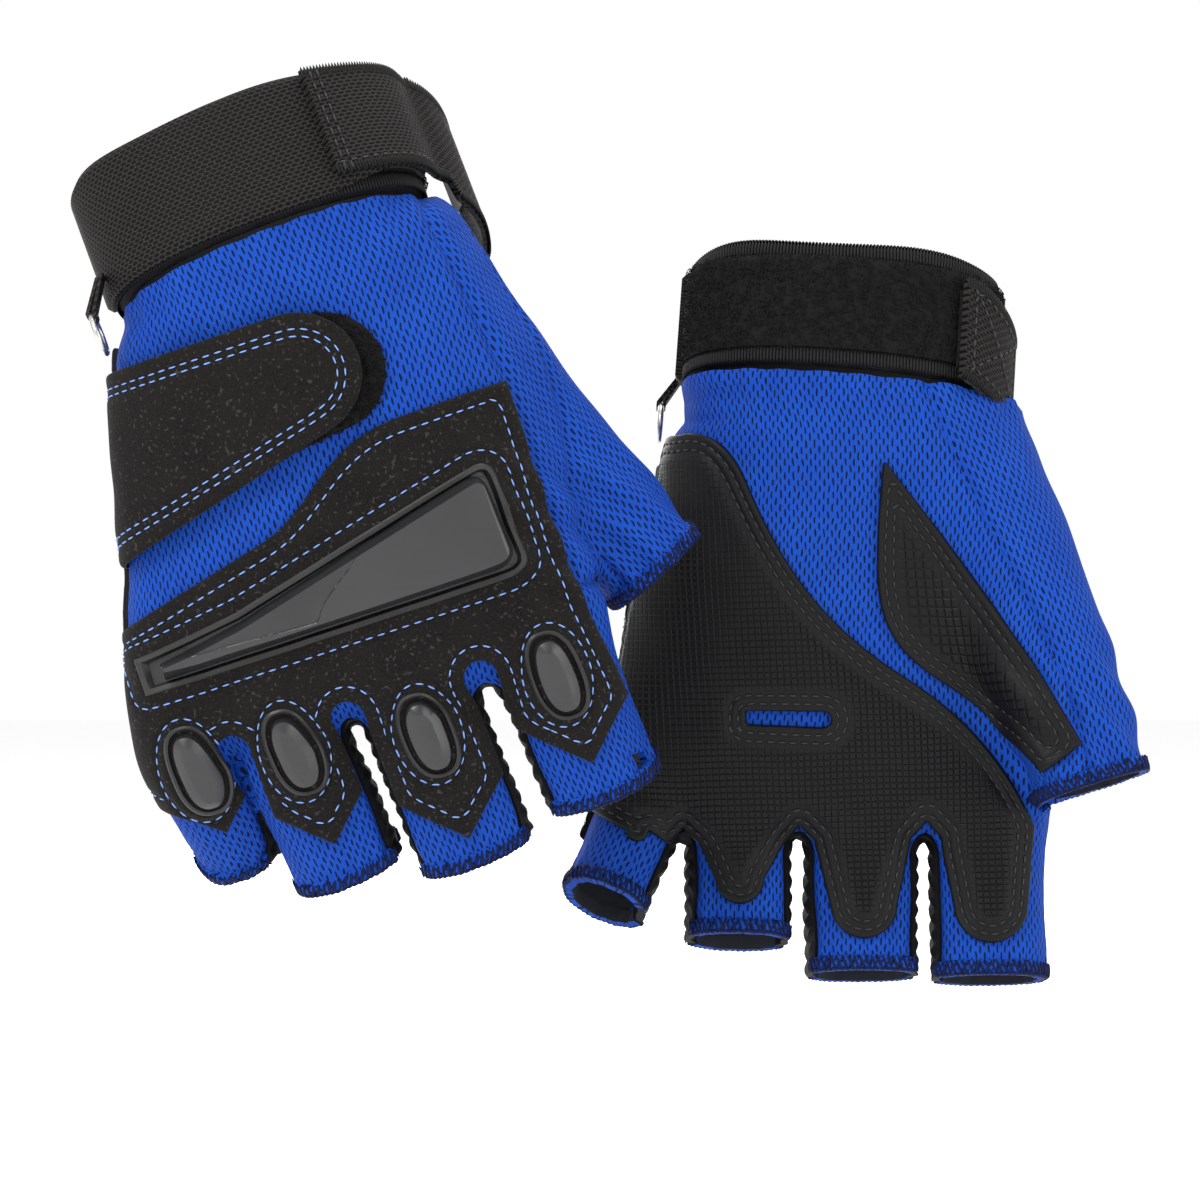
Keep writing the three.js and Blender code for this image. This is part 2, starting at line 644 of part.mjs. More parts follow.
for (const side of ["right", "left"]) {
  const { group, cuff } = glove(side);
  if (side === "left") group.scale.y = -1;
  group.rotation.y = -radians(POSES[side].lean);
  group.updateMatrixWorld(true);
  openings[side] = new THREE.Vector3(0, 0, CUFF_TOP).applyMatrix4(cuff.matrixWorld);
  gloves.add(group);
}

const [right, left] = gloves.children;
right.position.copy(openings.right).negate();
left.position.copy(right.position).add(new THREE.Vector3(...LEFT_PLACE));

export default gloves;
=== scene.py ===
"""A pair of half-finger riding gloves, in the shape they take when worn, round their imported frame.

Each glove is shaped in a frame of its own, in millimetres: x towards the thumb, y towards the palm
and z up the wrist, with z = 0 at the lower edge of the cuff. "down" is the distance below that edge.
Its pieces are then put in the pair's frame, in metres. The left glove is a mirror of the right one,
front to back, held in a pose of its own.
"""

import json
import math

import bpy
import numpy as np
from mathutils import Matrix, Vector


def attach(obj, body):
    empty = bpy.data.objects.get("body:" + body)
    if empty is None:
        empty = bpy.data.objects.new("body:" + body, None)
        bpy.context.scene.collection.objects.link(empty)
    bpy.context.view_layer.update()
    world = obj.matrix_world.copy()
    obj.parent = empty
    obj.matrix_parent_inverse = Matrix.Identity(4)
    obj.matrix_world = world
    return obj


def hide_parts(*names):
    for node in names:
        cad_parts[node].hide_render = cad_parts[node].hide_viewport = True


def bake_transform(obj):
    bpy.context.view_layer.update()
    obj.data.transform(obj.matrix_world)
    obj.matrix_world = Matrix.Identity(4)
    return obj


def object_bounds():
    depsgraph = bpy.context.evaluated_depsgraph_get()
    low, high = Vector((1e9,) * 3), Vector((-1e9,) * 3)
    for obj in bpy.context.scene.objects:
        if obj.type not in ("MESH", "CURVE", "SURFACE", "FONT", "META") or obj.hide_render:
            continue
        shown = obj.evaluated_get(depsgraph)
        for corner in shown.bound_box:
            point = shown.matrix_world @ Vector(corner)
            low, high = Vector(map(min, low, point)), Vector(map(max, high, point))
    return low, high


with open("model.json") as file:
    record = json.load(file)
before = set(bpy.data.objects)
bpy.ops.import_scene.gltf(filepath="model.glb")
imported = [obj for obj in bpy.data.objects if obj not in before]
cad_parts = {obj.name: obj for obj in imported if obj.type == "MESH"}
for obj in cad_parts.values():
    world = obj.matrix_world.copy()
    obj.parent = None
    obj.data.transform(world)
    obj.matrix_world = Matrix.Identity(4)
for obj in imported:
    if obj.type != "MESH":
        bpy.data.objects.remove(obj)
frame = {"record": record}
cad_low, cad_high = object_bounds()

# ---------------------------------------------------------------- camera, light and floor
# The camera stands well back, level with the pair, and looks straight at the back of the right
# glove. A big key lamp, a fill, a lamp overhead and one behind; a plain pale floor below.

scene = bpy.context.scene
scene.view_settings.view_transform = "Standard"

VIEW_DISTANCE = 0.8
VIEW_WIDTH = 0.2264  # what the frame takes in at the right glove

camera_data = bpy.data.cameras.new("camera")
camera_data.lens = camera_data.sensor_width * VIEW_DISTANCE / VIEW_WIDTH
camera = bpy.data.objects.new("camera", camera_data)
camera.location = (0.07036, -VIEW_DISTANCE - 0.00545, -0.08768)
camera.rotation_euler = (math.pi / 2, 0, 0)
scene.collection.objects.link(camera)
scene.camera = camera

PAIR_MIDDLE = Vector((0.075, 0.02, -0.08))


def soft_lamp(name, place, size, power):
    lamp = bpy.data.lights.new(name, "AREA")
    lamp.size = size
    lamp.energy = power
    made = bpy.data.objects.new(name, lamp)
    made.location = place
    made.rotation_euler = (PAIR_MIDDLE - Vector(place)).to_track_quat("-Z", "Y").to_euler()
    scene.collection.objects.link(made)


soft_lamp("key", (-0.5, -0.7, 0.6), 0.45, 9)
soft_lamp("fill", (0.9, -0.6, 0.15), 0.6, 3.5)
soft_lamp("overhead", (0.15, 0.2, 0.9), 0.5, 5)
soft_lamp("behind", (-0.1, 1.0, 0.2), 0.7, 6)

world = bpy.data.worlds.new("studio")
world.use_nodes = True
world.node_tree.nodes["Background"].inputs["Color"].default_value = (1, 1, 1, 1)
world.node_tree.nodes["Background"].inputs["Strength"].default_value = 1.0
scene.world = world

FLOOR_DROP = 0.03
FLOOR_REACH = 3.0
floor_z = cad_low[2] - FLOOR_DROP
floor_corners = [(x, y, floor_z) for x, y in ((-1, -1), (1, -1), (1, 1), (-1, 1))]
floor_mesh = bpy.data.meshes.new("floor")
floor_mesh.from_pydata(
    [(x * FLOOR_REACH, y * FLOOR_REACH, z) for x, y, z in floor_corners], [], [(0, 1, 2, 3)]
)
floor = bpy.data.objects.new("floor", floor_mesh)
scene.collection.objects.link(floor)
floor_paint = bpy.data.materials.new("pale_floor")
floor_paint.use_nodes = True
floor_shader = floor_paint.node_tree.nodes["Principled BSDF"]
floor_shader.inputs["Base Color"].default_value = (0.95, 0.95, 0.95, 1)
floor_shader.inputs["Roughness"].default_value = 0.95
floor_mesh.materials.append(floor_paint)

# ---------------------------------------------------------------- shell panels
# Back, palm and thumb panels of royal-blue open mesh knit, lined with thin black cloth and sewn
# edge to edge. They lie on the form of a hand: an oval palm, four fingers and a thumb, each a
# limb of oval sections, run together smoothly.

MM = 0.001
SIDES = ("right", "left")
PALM_LENGTH = 85
KNUCKLE_LINE = 58
HEM_LENGTH = 3
FABRIC = 1.4
SEAM_DIP = 0.75
FOURCHETTE_HALF_DEPTH = 5.4

FINGERS = {  # half width and depth; the suede tab's half width and its tip's distance from the hem
    "index": dict(half_width=11.2, half_depth=9.8, tab=10.3, tab_back=5.5, pad_down=89.5),
    "middle": dict(half_width=11.2, half_depth=9.8, tab=9.6, tab_back=3.5, pad_down=93),
    "ring": dict(half_width=10.5, half_depth=9.4, tab=8, tab_back=6, pad_down=89),
    "pinky": dict(half_width=8.5, half_depth=8.6, tab=5.6, tab_back=4.5, pad_down=87),
}
ACROSS_HAND = ("pinky", "ring", "middle", "index")

POSES = {  # each finger: x at the knuckles, x at the crotch, opening's x and down, sink to the palm
    "right": dict(
        lean=16.8,
        wrist_lean=4.2,
        wrist_flex=12,
        palm_shift=(1.3, -2.4),
        fingers=dict(
            index=(27.5, 29, 31.8, 113, 8),
            middle=(2.5, 2.7, 5.3, 117.8, 8),
            ring=(-20, -22, -18.8, 114, 9),
            pinky=(-36, -40.8, -38, 104.5, 16),
        ),
        thumb=((22, 10.7), (29.5, 27), (38, 44.4), (45.8, 60.3), (53.5, 76.4)),
    ),
    "left": dict(
        lean=1.7,
        wrist_lean=-6,
        wrist_flex=-12,
        palm_shift=(-1.5, -5.4),
        fingers=dict(
            index=(25, 25.6, 24.8, 116.8, 6),
            middle=(1.5, 0.6, -0.3, 115.2, 6),
            ring=(-21, -23.6, -24.8, 107.7, 6),
            pinky=(-36, -43.4, -51, 99, 8),
        ),
        thumb=((20, 10), (27.5, 27), (35.5, 46), (41, 62), (45.6, 78.6)),
    ),
}


def smooth_curve(down, knots):
    """The value at each distance down of a smooth curve through (down, value) knots."""
    xs, ys = np.array(knots, float).T
    slopes = np.gradient(ys, xs)
    i = np.clip(np.searchsorted(xs, down) - 1, 0, len(xs) - 2)
    span = xs[i + 1] - xs[i]
    t = np.clip((down - xs[i]) / span, 0, 1)
    past = down - np.clip(down, xs[0], xs[-1])
    rise = t * t * (3 - 2 * t)
    bend = span * t * (1 - t) * ((1 - t) * slopes[i] - t * slopes[i + 1])
    return ys[i] + (ys[i + 1] - ys[i]) * rise + bend + past * np.where(past > 0, slopes[-1], slopes[0])


def smooth_min(a, b, reach):
    h = np.clip(0.5 + 0.5 * (b - a) / reach, 0, 1)
    return b + (a - b) * h - reach * h * (1 - h)


def smooth_step(value, low, high):
    t = np.clip((value - low) / (high - low), 0, 1)
    return t * t * (3 - 2 * t)


class Limb:
    """A tube of oval sections: rows of down, x, y, half width and half depth."""

    SQUARENESS = 2.3
    FAR = 22

    def __init__(self, rows, start=None, end=None):
        rows = np.array(rows, float)
        self.x, self.y, self.a, self.b = (list(zip(rows[:, 0], rows[:, k])) for k in (1, 2, 3, 4))
        self.first, self.last = rows[0, 0], rows[-1, 0]
        self.start, self.end = start, end
        margin = rows[:, 3].max() + self.FAR
        self.box = (rows[:, 1].min() - margin, rows[:, 1].max() + margin)
        self.top = (rows[0, 0] if start is None else start) - (60 if start is None else self.FAR)
        self.foot = 200 if end is None else end + self.FAR

    def middle(self, down):
        down = np.asarray(down, float)
        return np.stack([smooth_curve(down, self.x), smooth_curve(down, self.y), -down], -1)

    def onward(self, down):
        ahead = self.middle(np.asarray(down) + 0.5) - self.middle(np.asarray(down) - 0.5)
        return ahead / np.linalg.norm(ahead, axis=-1, keepdims=True)

    def axes(self, down):
        onward = self.onward(down)
        across = np.stack([-onward[..., 2], 0 * onward[..., 0], onward[..., 0]], -1)
        across /= np.linalg.norm(across, axis=-1, keepdims=True)
        return across, np.cross(across, onward), onward

    def section(self, points):
        """Where points lie: down along the limb, and their offsets across it and palmwards."""
        down = -points[:, 2]
        onward = self.onward(down)
        down = down - onward[:, 2] * np.einsum("ij,ij->i", points - self.middle(down), onward)
        across, palmward, _ = self.axes(down)
        away = points - self.middle(down)
        return down, np.einsum("ij,ij->i", away, across), np.einsum("ij,ij->i", away, palmward)

    def measured(self, points):
        down, u, v = self.section(points)
        held = np.clip(down, self.first, self.last)
        a, b = smooth_curve(held, self.a), smooth_curve(held, self.b)
        e = self.SQUARENESS
        p, q = np.abs(u / a) + 1e-9, np.abs(v / b) + 1e-9
        size = (p**e + q**e) ** (1 / e)
        steepness = size ** (1 - e) * np.hypot(p ** (e - 1) / a, q ** (e - 1) / b)
        found = (size - 1) / np.maximum(steepness, 0.5 / np.maximum(a, b))
        if self.start is not None:
            found = -smooth_min(-found, down - self.start, 6)
        if self.end is not None:
            found = -smooth_min(-found, self.end - down, 7)
        return found

    def distance(self, points):
        """Distance from the limb's surface, minus inside; the same large value wherever it is far."""
        x, down = points[:, 0], -points[:, 2]
        near = (x > self.box[0]) & (x < self.box[1]) & (down > self.top) & (down < self.foot)
        found = np.full(len(points), float(self.FAR))
        found[near] = np.minimum(self.measured(points[near]), self.FAR)
        return found


def palm_x(side, down):
    first, last = POSES[side]["palm_shift"]
    return first + (last - first) * np.asarray(down) / PALM_LENGTH


class Form:
    """The form of the hand in one glove, with what is measured on it."""

    def __init__(self, side):
        pose = POSES[side]
        self.side, self.pose = side, pose
        flex = math.tan(math.radians(pose["wrist_flex"]))
        tilt = math.tan(math.radians(pose["wrist_lean"]))
        palm = (  # down, half width, half depth, and its middle's shift towards the thumb
            (-12, 29.8, 20.4, 0),
            (0, 30.8, 20.6, 0),
            (5, 33.6, 21.2, 0.9),
            (17, 36.3, 20.2, 1.7),
            (34, 38.7, 18.7, 1.4),
            (54, 41.9, 16.9, 0.4),
            (71, 43.5, 14.5, 0),
            (79, 43.1, 12.8, 0),
            (90, 42, 11, 0),
        )
        self.palm = Limb(
            [
                (d, palm_x(side, max(d, 0)) + heel + tilt * min(d, 0), flex * max(-d, 0), a, b)
                for d, a, b, heel in palm
            ],
            end=PALM_LENGTH + 1,
        )
        self.digits = {}
        crotch_down = PALM_LENGTH - 2
        for name, (knuckle, crotch, end_x, end_down, sink) in pose["fingers"].items():
            a, b = FINGERS[name]["half_width"], FINGERS[name]["half_depth"]
            self.digits[name] = Limb(
                [
                    (KNUCKLE_LINE, knuckle, 0, a - 1.5, b),
                    (crotch_down, crotch, sink * 0.1, a + 0.3, b + 0.6),
                    ((crotch_down + end_down) / 2, (crotch + end_x) / 2, sink * 0.42, a + 0.2, b + 0.3),
                    (end_down, end_x, sink, a, b),
                ],
                start=KNUCKLE_LINE - 4,
            )
        depths = (3, 7, 12, 15.5, 18)
        halves = ((14, 14), (14.6, 15), (12.8, 13), (11.8, 11.4), (10.8, 10.2))
        self.digits["thumb"] = Limb(
            [(d, x, y, a, b) for (x, d), y, (a, b) in zip(pose["thumb"], depths, halves)], start=4
        )

    def distance(self, points):
        fingers = self.digits["index"].distance(points)
        for name in ("middle", "ring", "pinky"):
            fingers = smooth_min(fingers, self.digits[name].distance(points), 0.6)
        hand = smooth_min(self.palm.distance(points), fingers, 5)
        return smooth_min(hand, self.digits["thumb"].distance(points), 8)

    def slopes(self, points, step=0.3):
        """Distance from the form, and the direction straight away from it."""
        corners = np.array([(1, -1, -1), (-1, -1, 1), (-1, 1, -1), (1, 1, 1)], float)
        values = [self.distance(points + step * corner) for corner in corners]
        away = sum(corner * value[:, None] for corner, value in zip(corners, values))
        return sum(values) / 4, away / np.maximum(np.linalg.norm(away, axis=1, keepdims=True), 1e-9)

    def settle(self, points, rounds=1):
        """Points moved on to the form."""
        for _ in range(rounds):
            distance, away = self.slopes(points)
            points = points - away * np.clip(distance, -2, 2)[:, None]
        return points

    def onto(self, x, down, back=True):
        """The points of the form's back, or of its palm, at each x and down."""
        towards = 1.0 if back else -1.0
        points = np.stack([x, np.full(len(x), -40.0 * towards), -np.asarray(down, float)], -1)
        for _ in range(26):
            points[:, 1] += towards * np.clip(0.8 * self.distance(points), -3, 4)
        return points

    def digit_x(self, name, down):
        limb = self.digits[name]
        return np.interp(down, [k[0] for k in limb.x], [k[1] for k in limb.x])

    def between_x(self, left, right, down):
        """The line midway between two fingers."""
        a, b = FINGERS[left]["half_width"], FINGERS[right]["half_width"]
        return (self.digit_x(left, down) + a + self.digit_x(right, down) - b) / 2

    def side_line(self, points):
        """The y of the line, along the glove's edges, where its back meets its palm."""
        down, x = -points[:, 2], points[:, 0]
        centres = [self.digit_x(name, down) for name in ACROSS_HAND]
        sinks = [np.interp(down, *np.array(self.digits[name].y).T) for name in ACROSS_HAND]
        found = sinks[0]
        for k in range(1, len(ACROSS_HAND)):
            share = np.clip((x - centres[k - 1]) / (centres[k] - centres[k - 1]), 0, 1)
            found = found + (sinks[k] - sinks[k - 1]) * share
        return found * np.clip((down - KNUCKLE_LINE) / 10, 0, 1)

    def past_end(self, points):
        """How far each point lies past the openings of the fingers and thumb, minus if within."""
        found = np.full(len(points), -60.0)
        nearest = self.palm.distance(points)
        for limb in self.digits.values():
            away = limb.distance(points)
            past = (points - limb.middle(limb.last)) @ limb.onward(limb.last)
            found = np.where(away < nearest, past, found)
            nearest = np.minimum(away, nearest)
        return found

    def below_cuff(self, points):
        """How far each point lies below the plane of the cuff's lower edge."""
        lean, flex = math.radians(self.pose["wrist_lean"]), math.radians(self.pose["wrist_flex"])
        up = (-math.sin(lean) * math.cos(flex), math.sin(flex), math.cos(lean) * math.cos(flex))
        return -(points - (float(palm_x(self.side, 0)), 0, 0)) @ np.array(up)

    def back_seam(self, down):
        return palm_x(self.side, down) + np.interp(down, [0, 34, 62, 78], [30, 37.2, 39.2, 41.2])

    def thumb_reach(self):
        return self.pose["thumb"][-1][0] - POSES["left"]["thumb"][-1][0]

    def thumb_side(self, points):
        """How far each point lies inside the thumb panel's seams."""
        down, y = -points[:, 2], points[:, 1]
        knots = [(0, 15.5), (17, 22), (37, 31), (56, 39), (90, 46.5)]
        palm_seam = smooth_curve(np.clip(down, 0, 90), knots) + self.thumb_reach() * np.minimum(1, down / 75)
        turn = smooth_step(y, -6, 20)
        seam = self.back_seam(down) * (1 - turn) + palm_seam * turn
        on_thumb = self.digits["thumb"].distance(points) < self.palm.distance(points) + 0.5
        return np.minimum((points[:, 0] - seam) * 0.9, np.where(on_thumb, 40, 75 - down))

    def between_fingers(self, points):
        """How far each point lies inside the strips let in between the fingers."""
        down = -points[:, 2]
        middle = self.side_line(points)
        half = np.interp(down, [PALM_LENGTH - 12, PALM_LENGTH + 4], [3, 5.5])
        best = np.full(len(points), -60.0)
        for left, right in zip(ACROSS_HAND[:-1], ACROSS_HAND[1:]):
            inside = np.minimum(
                half - np.abs(points[:, 0] - self.between_x(left, right, down)),
                FOURCHETTE_HALF_DEPTH - np.abs(points[:, 1] - middle),
            )
            best = np.maximum(best, np.minimum(inside, down - (PALM_LENGTH - 11)))
        return best

    def folds(self, points):
        """How far soft folds lift the cloth: gathers at the cuff, drag lines at the thumb's root."""
        down, x, y = -points[:, 2], points[:, 0], points[:, 1]
        gathers = 0.4 * np.exp(-np.maximum(self.below_cuff(points), 0) / 7) * np.sin(
            x * 0.8 + 2 * np.sin(y * 0.3)
        )
        at_thumb = smooth_step(x, 18, 34) * smooth_step(down, 40, 58) * (1 - smooth_step(down, 74, 84))
        drag = 0.5 * at_thumb * np.sin(0.62 * down - 0.7 * x + 0.8 * np.sin(y * 0.25))
        at_hem = np.exp(np.minimum(self.past_end(points) + HEM_LENGTH, 0) / 3.5)
        pucker = 0.18 * at_hem * np.sin(x * 1.4 + y * 1.1)
        rumple = 0.2 * np.sin(x * 0.31 + 1.3 * np.sin(down * 0.11)) * np.sin(
            down * 0.27 + np.sin(x * 0.13 + y * 0.2)
        )
        return gathers + drag + pucker + rumple


def edges_of(faces):
    """Each edge once, and for the three sides of every face the edge that it lies on."""
    sides = np.concatenate([faces[:, [0, 1]], faces[:, [1, 2]], faces[:, [2, 0]]])
    edges, place = np.unique(np.sort(sides, axis=1), axis=0, return_inverse=True)
    return edges, place.reshape(3, -1).T


def surface_net(form, low, high, cell):
    """Triangles all over the form, one grid cell in size, evened out."""
    coarse = 4
    axes = [np.arange(a, b + cell, cell) for a, b in zip(low, high)]
    grid = np.stack(np.meshgrid(*axes, indexing="ij"), -1)
    rough = grid[::coarse, ::coarse, ::coarse]
    away = form.distance(rough.reshape(-1, 3)).reshape(rough.shape[:3])
    for axis in range(3):
        away = np.repeat(away, coarse, axis)
    away = away[: grid.shape[0], : grid.shape[1], : grid.shape[2]].copy()
    close = np.abs(away) < coarse * cell * 2.2
    away[close] = form.distance(grid[close])
    inside = away < 0
    parts = [
        inside[i : i - 1 or None, j : j - 1 or None, k : k - 1 or None].astype(int)
        for i in (0, 1)
        for j in (0, 1)
        for k in (0, 1)
    ]
    mixed = (sum(parts) > 0) & (sum(parts) < 8)
    index = np.full(mixed.shape, -1)
    index[mixed] = np.arange(mixed.sum())
    points = grid[:-1, :-1, :-1][mixed] + cell / 2
    quads = []
    for axis in range(3):
        solid, cells = np.moveaxis(inside, axis, 0), np.moveaxis(index, axis, 0)
        here, after = solid[:-1, 1:-1, 1:-1], solid[1:, 1:-1, 1:-1]
        crossing = here != after
        ring = [cells[:, :-1, :-1], cells[:, 1:, :-1], cells[:, 1:, 1:], cells[:, :-1, 1:]]
        found = np.stack([c[crossing] for c in ring], -1)
        backwards = here[crossing] == (axis == 1)
        found[backwards] = found[backwards][:, ::-1]
        quads.append(found)
    quads = np.concatenate(quads)
    sides = np.concatenate([quads[:, [k, (k + 1) % 4]] for k in range(4)])
    degree = np.maximum(np.bincount(sides[:, 0], minlength=len(points)), 1)
    for _ in range(3):
        points = form.settle(points)
        near = np.stack([np.bincount(sides[:, 0], points[sides[:, 1], k], len(points)) for k in range(3)], -1)
        points = 0.4 * points + 0.6 * near / degree[:, None]
    return form.settle(points, 2), np.concatenate([quads[:, [0, 1, 2]], quads[:, [0, 2, 3]]])


def cut(points, faces, field):
    """The part of the mesh where field is above 0, cut cleanly along its zero line."""
    keep = field > 0
    kept = keep[faces].sum(1)
    crossed = faces[(kept == 1) | (kept == 2)]
    lone = np.where(keep[crossed].sum(1) == 1, keep[crossed].argmax(1), (~keep[crossed]).argmax(1))
    rows = np.arange(len(crossed))
    a, b, c = (crossed[rows, (lone + k) % 3] for k in range(3))
    pairs = np.sort(np.concatenate([np.stack([a, b], -1), np.stack([a, c], -1)]), axis=1)
    edges, place = np.unique(pairs, axis=0, return_inverse=True)
    ab, ac = place.reshape(2, -1) + len(points)
    ends = field[edges]
    share = ends[:, :1] / (ends[:, :1] - ends[:, 1:])
    new = points[edges[:, 0]] + share * (points[edges[:, 1]] - points[edges[:, 0]])
    single = keep[a]
    faces = np.concatenate(
        [
            faces[kept == 3],
            np.stack([a, ab, ac], -1)[single],
            np.stack([ab, b, c], -1)[~single],
            np.stack([ab, c, ac], -1)[~single],
        ]
    )
    points = np.concatenate([points, new])
    used, renumbered = np.unique(faces, return_inverse=True)
    return points[used], renumbered.reshape(-1, 3)


def biggest_part(points, faces):
    """The biggest joined part of a mesh, without the specks that a cut leaves."""
    label = np.arange(len(points))
    edges, _ = edges_of(faces)
    while True:
        low = np.minimum(label[edges[:, 0]], label[edges[:, 1]])
        new = label.copy()
        np.minimum.at(new, edges[:, 0], low)
        np.minimum.at(new, edges[:, 1], low)
        new = new[new]
        if (new == label).all():
            break
        label = new
    names, sizes = np.unique(label[faces[:, 0]], return_counts=True)
    faces = faces[label[faces[:, 0]] == names[sizes.argmax()]]
    used, renumbered = np.unique(faces, return_inverse=True)
    return points[used], renumbered.reshape(-1, 3)


def flattened(points, faces, along, rounds=260):
    """Cloth coordinates across and along, in millimetres, as near as the panel can be laid flat.

    They are the two fields whose slopes best follow the cloth's own directions."""
    a, b, c = (points[faces[:, k]] for k in range(3))
    normal = np.cross(b - a, c - a)
    twice = np.maximum(np.linalg.norm(normal, axis=1, keepdims=True), 1e-6)
    normal = normal / twice
    lengthwise = along[faces].mean(1)
    lengthwise -= normal * np.einsum("ij,ij->i", lengthwise, normal)[:, None]
    lengthwise /= np.maximum(np.linalg.norm(lengthwise, axis=1, keepdims=True), 1e-6)
    crosswise = np.cross(lengthwise, normal)
    hats = np.stack([np.cross(normal, s) / twice for s in (c - b, a - c, b - a)], 1)
    weight = twice / 2

    def gathered(slope):
        share = np.einsum("fkj,fj->fk", hats, slope * weight)
        return np.bincount(faces.ravel(), share.ravel(), len(points))

    spread = np.bincount(
        faces.ravel(), (np.einsum("fkj,fkj->fk", hats, hats) * weight).ravel(), len(points)
    ) + 1e-9
    found = []
    for direction, guess in ((crosswise, points[:, 0]), (lengthwise, -points[:, 2])):
        value = guess.copy()
        rest = gathered(direction) - gathered(np.einsum("fkj,fk->fj", hats, value[faces]))
        ready = rest / spread
        step = ready.copy()
        energy = rest @ ready
        for _ in range(rounds):
            spreading = gathered(np.einsum("fkj,fk->fj", hats, step[faces]))
            size = energy / (step @ spreading)
            value += size * step
            rest -= size * spreading
            ready = rest / spread
            before, energy = energy, rest @ ready
            step = ready + energy / before * step
        found.append(value)
    return np.stack(found, -1)


def refined(form, points, faces, *values, times=1, near=None):
    """The mesh with its edges halved, all of them or those with an end where near(points) holds.

    New points are put on the form, and any values that the mesh carries come with it."""
    for _ in range(times):
        edges, place = edges_of(faces)
        halved = np.ones(len(edges), bool) if near is None else near(points)[edges].any(1)
        middle = (len(points) - 1 + np.cumsum(halved))[place]
        count = halved[place].sum(1)
        values = [np.concatenate([v, v[edges[halved]].mean(1)]) for v in values]
        points = np.concatenate([points, form.settle(points[edges[halved]].mean(1))])
        first = np.where(count == 1, halved[place].argmax(1), (~halved[place]).argmax(1))
        turned = (first[:, None] + np.arange(3)) % 3
        faces, middle = (np.take_along_axis(part, turned, axis=1) for part in (faces, middle))
        (a, b, c), (ab, bc, ca) = faces.T, middle.T
        pieces = {
            0: ((a, b, c),),
            1: ((a, ab, c), (ab, b, c)),
            2: ((c, ca, bc), (a, b, bc), (a, bc, ca)),
            3: ((a, ab, ca), (ab, b, bc), (ca, bc, c), (ab, bc, ca)),
        }
        faces = np.concatenate(
            [
                np.stack(corner, -1)[count == number]
                for number, corners in pieces.items()
                for corner in corners
            ]
        )
    return (points, faces, *values)


def thickened(points, normals, faces, top, under):
    """A sheet with an upper face, a lower face and a rim, and which of its faces are lower ones."""
    n = len(points)
    sides = np.concatenate([faces[:, [0, 1]], faces[:, [1, 2]], faces[:, [2, 0]]])
    _, first, counts = np.unique(np.sort(sides, axis=1), axis=0, return_index=True, return_counts=True)
    a, b = sides[first[counts == 1]].T
    every = np.concatenate(
        [faces, faces[:, ::-1] + n, np.stack([b, a, a + n], -1), np.stack([b, a + n, b + n], -1)]
    )
    is_lower = np.zeros(len(every), int)
    is_lower[len(faces) : 2 * len(faces)] = 1
    both = [points + normals * np.broadcast_to(lift, n)[:, None] for lift in (top, under)]
    return np.concatenate(both), every, is_lower


def glove_place(side):
    """From a glove's own frame, in millimetres, to the pair's frame, in metres."""
    pose = POSES[side]
    mirror = -1 if side == "left" else 1
    turn = Matrix.Rotation(-math.radians(pose["lean"]), 3, "Y") @ Matrix.Diagonal((1, mirror, 1))
    mount = next(m for m in frame["record"]["mounts"] if m["name"] == f"{side}_wrist")
    cuff_height = 26.2
    opening = turn @ Vector((float(palm_x(side, 0)), 0, 0)) + Vector(mount["axis"]) * cuff_height
    return np.array(turn), np.array(Vector(mount["pos_m"]) - opening * MM)


PLACES = {side: glove_place(side) for side in SIDES}


def placed(side, points):
    turn, origin = PLACES[side]
    return np.asarray(points) @ turn.T * MM + origin


def made_piece(name, side, points, faces, materials, index=None, crease=50, **layers):
    """A mesh object in the pair's frame, from a glove's points in millimetres."""
    if side == "left":
        faces = faces[:, ::-1]
    mesh = bpy.data.meshes.new(name)
    mesh.vertices.add(len(points))
    mesh.vertices.foreach_set("co", placed(side, points).astype(np.float32).ravel())
    mesh.loops.add(faces.size)
    mesh.loops.foreach_set("vertex_index", faces.astype(np.int32).ravel())
    mesh.polygons.add(len(faces))
    mesh.polygons.foreach_set("loop_start", np.arange(0, faces.size, faces.shape[1], dtype=np.int32))
    if index is not None:
        mesh.polygons.foreach_set("material_index", index.astype(np.int32))
    for layer, values in layers.items():
        if layer == "cloth":
            mesh.uv_layers.new(name="cloth").data.foreach_set(
                "uv", values[faces.ravel()].astype(np.float32).ravel()
            )
        else:
            mesh.attributes.new(layer, "FLOAT", "POINT").data.foreach_set("value", values.astype(np.float32))
    mesh.update()
    mesh.validate()
    mesh.set_sharp_from_angle(angle=math.radians(crease))
    for material in materials:
        mesh.materials.append(material)
    piece = bpy.data.objects.new(f"{name}_{side}", mesh)
    scene.collection.objects.link(piece)
    return piece


def fitted(piece, body, slot, *nodes):
    """Join a piece to the body that it rides on; where two bodies and a bend are given, only bake the piece's
    place into its mesh.
    """
    if isinstance(body, tuple):
        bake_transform(piece)
    else:
        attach(piece, body)
    if nodes:
        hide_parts(*nodes)


def principled(name, colour, roughness, **sockets):
    made = bpy.data.materials.new(name)
    made.use_nodes = True
    shader = made.node_tree.nodes["Principled BSDF"]
    shader.inputs["Base Color"].default_value = (*colour, 1)
    shader.inputs["Roughness"].default_value = roughness
    for socket, value in sockets.items():
        shader.inputs[socket.replace("_", " ")].default_value = value
    return made, made.node_tree, shader


def node(tree, kind, inputs=(), **settings):
    made = tree.nodes.new(kind)
    for key, value in settings.items():
        setattr(made, key, value)
    for socket, value in dict(inputs).items():
        if isinstance(value, bpy.types.NodeSocket):
            tree.links.new(value, made.inputs[socket])
        else:
            made.inputs[socket].default_value = value
    return made


def sum_node(tree, operation, *values):
    return node(tree, "ShaderNodeMath", dict(enumerate(values)), operation=operation).outputs[0]


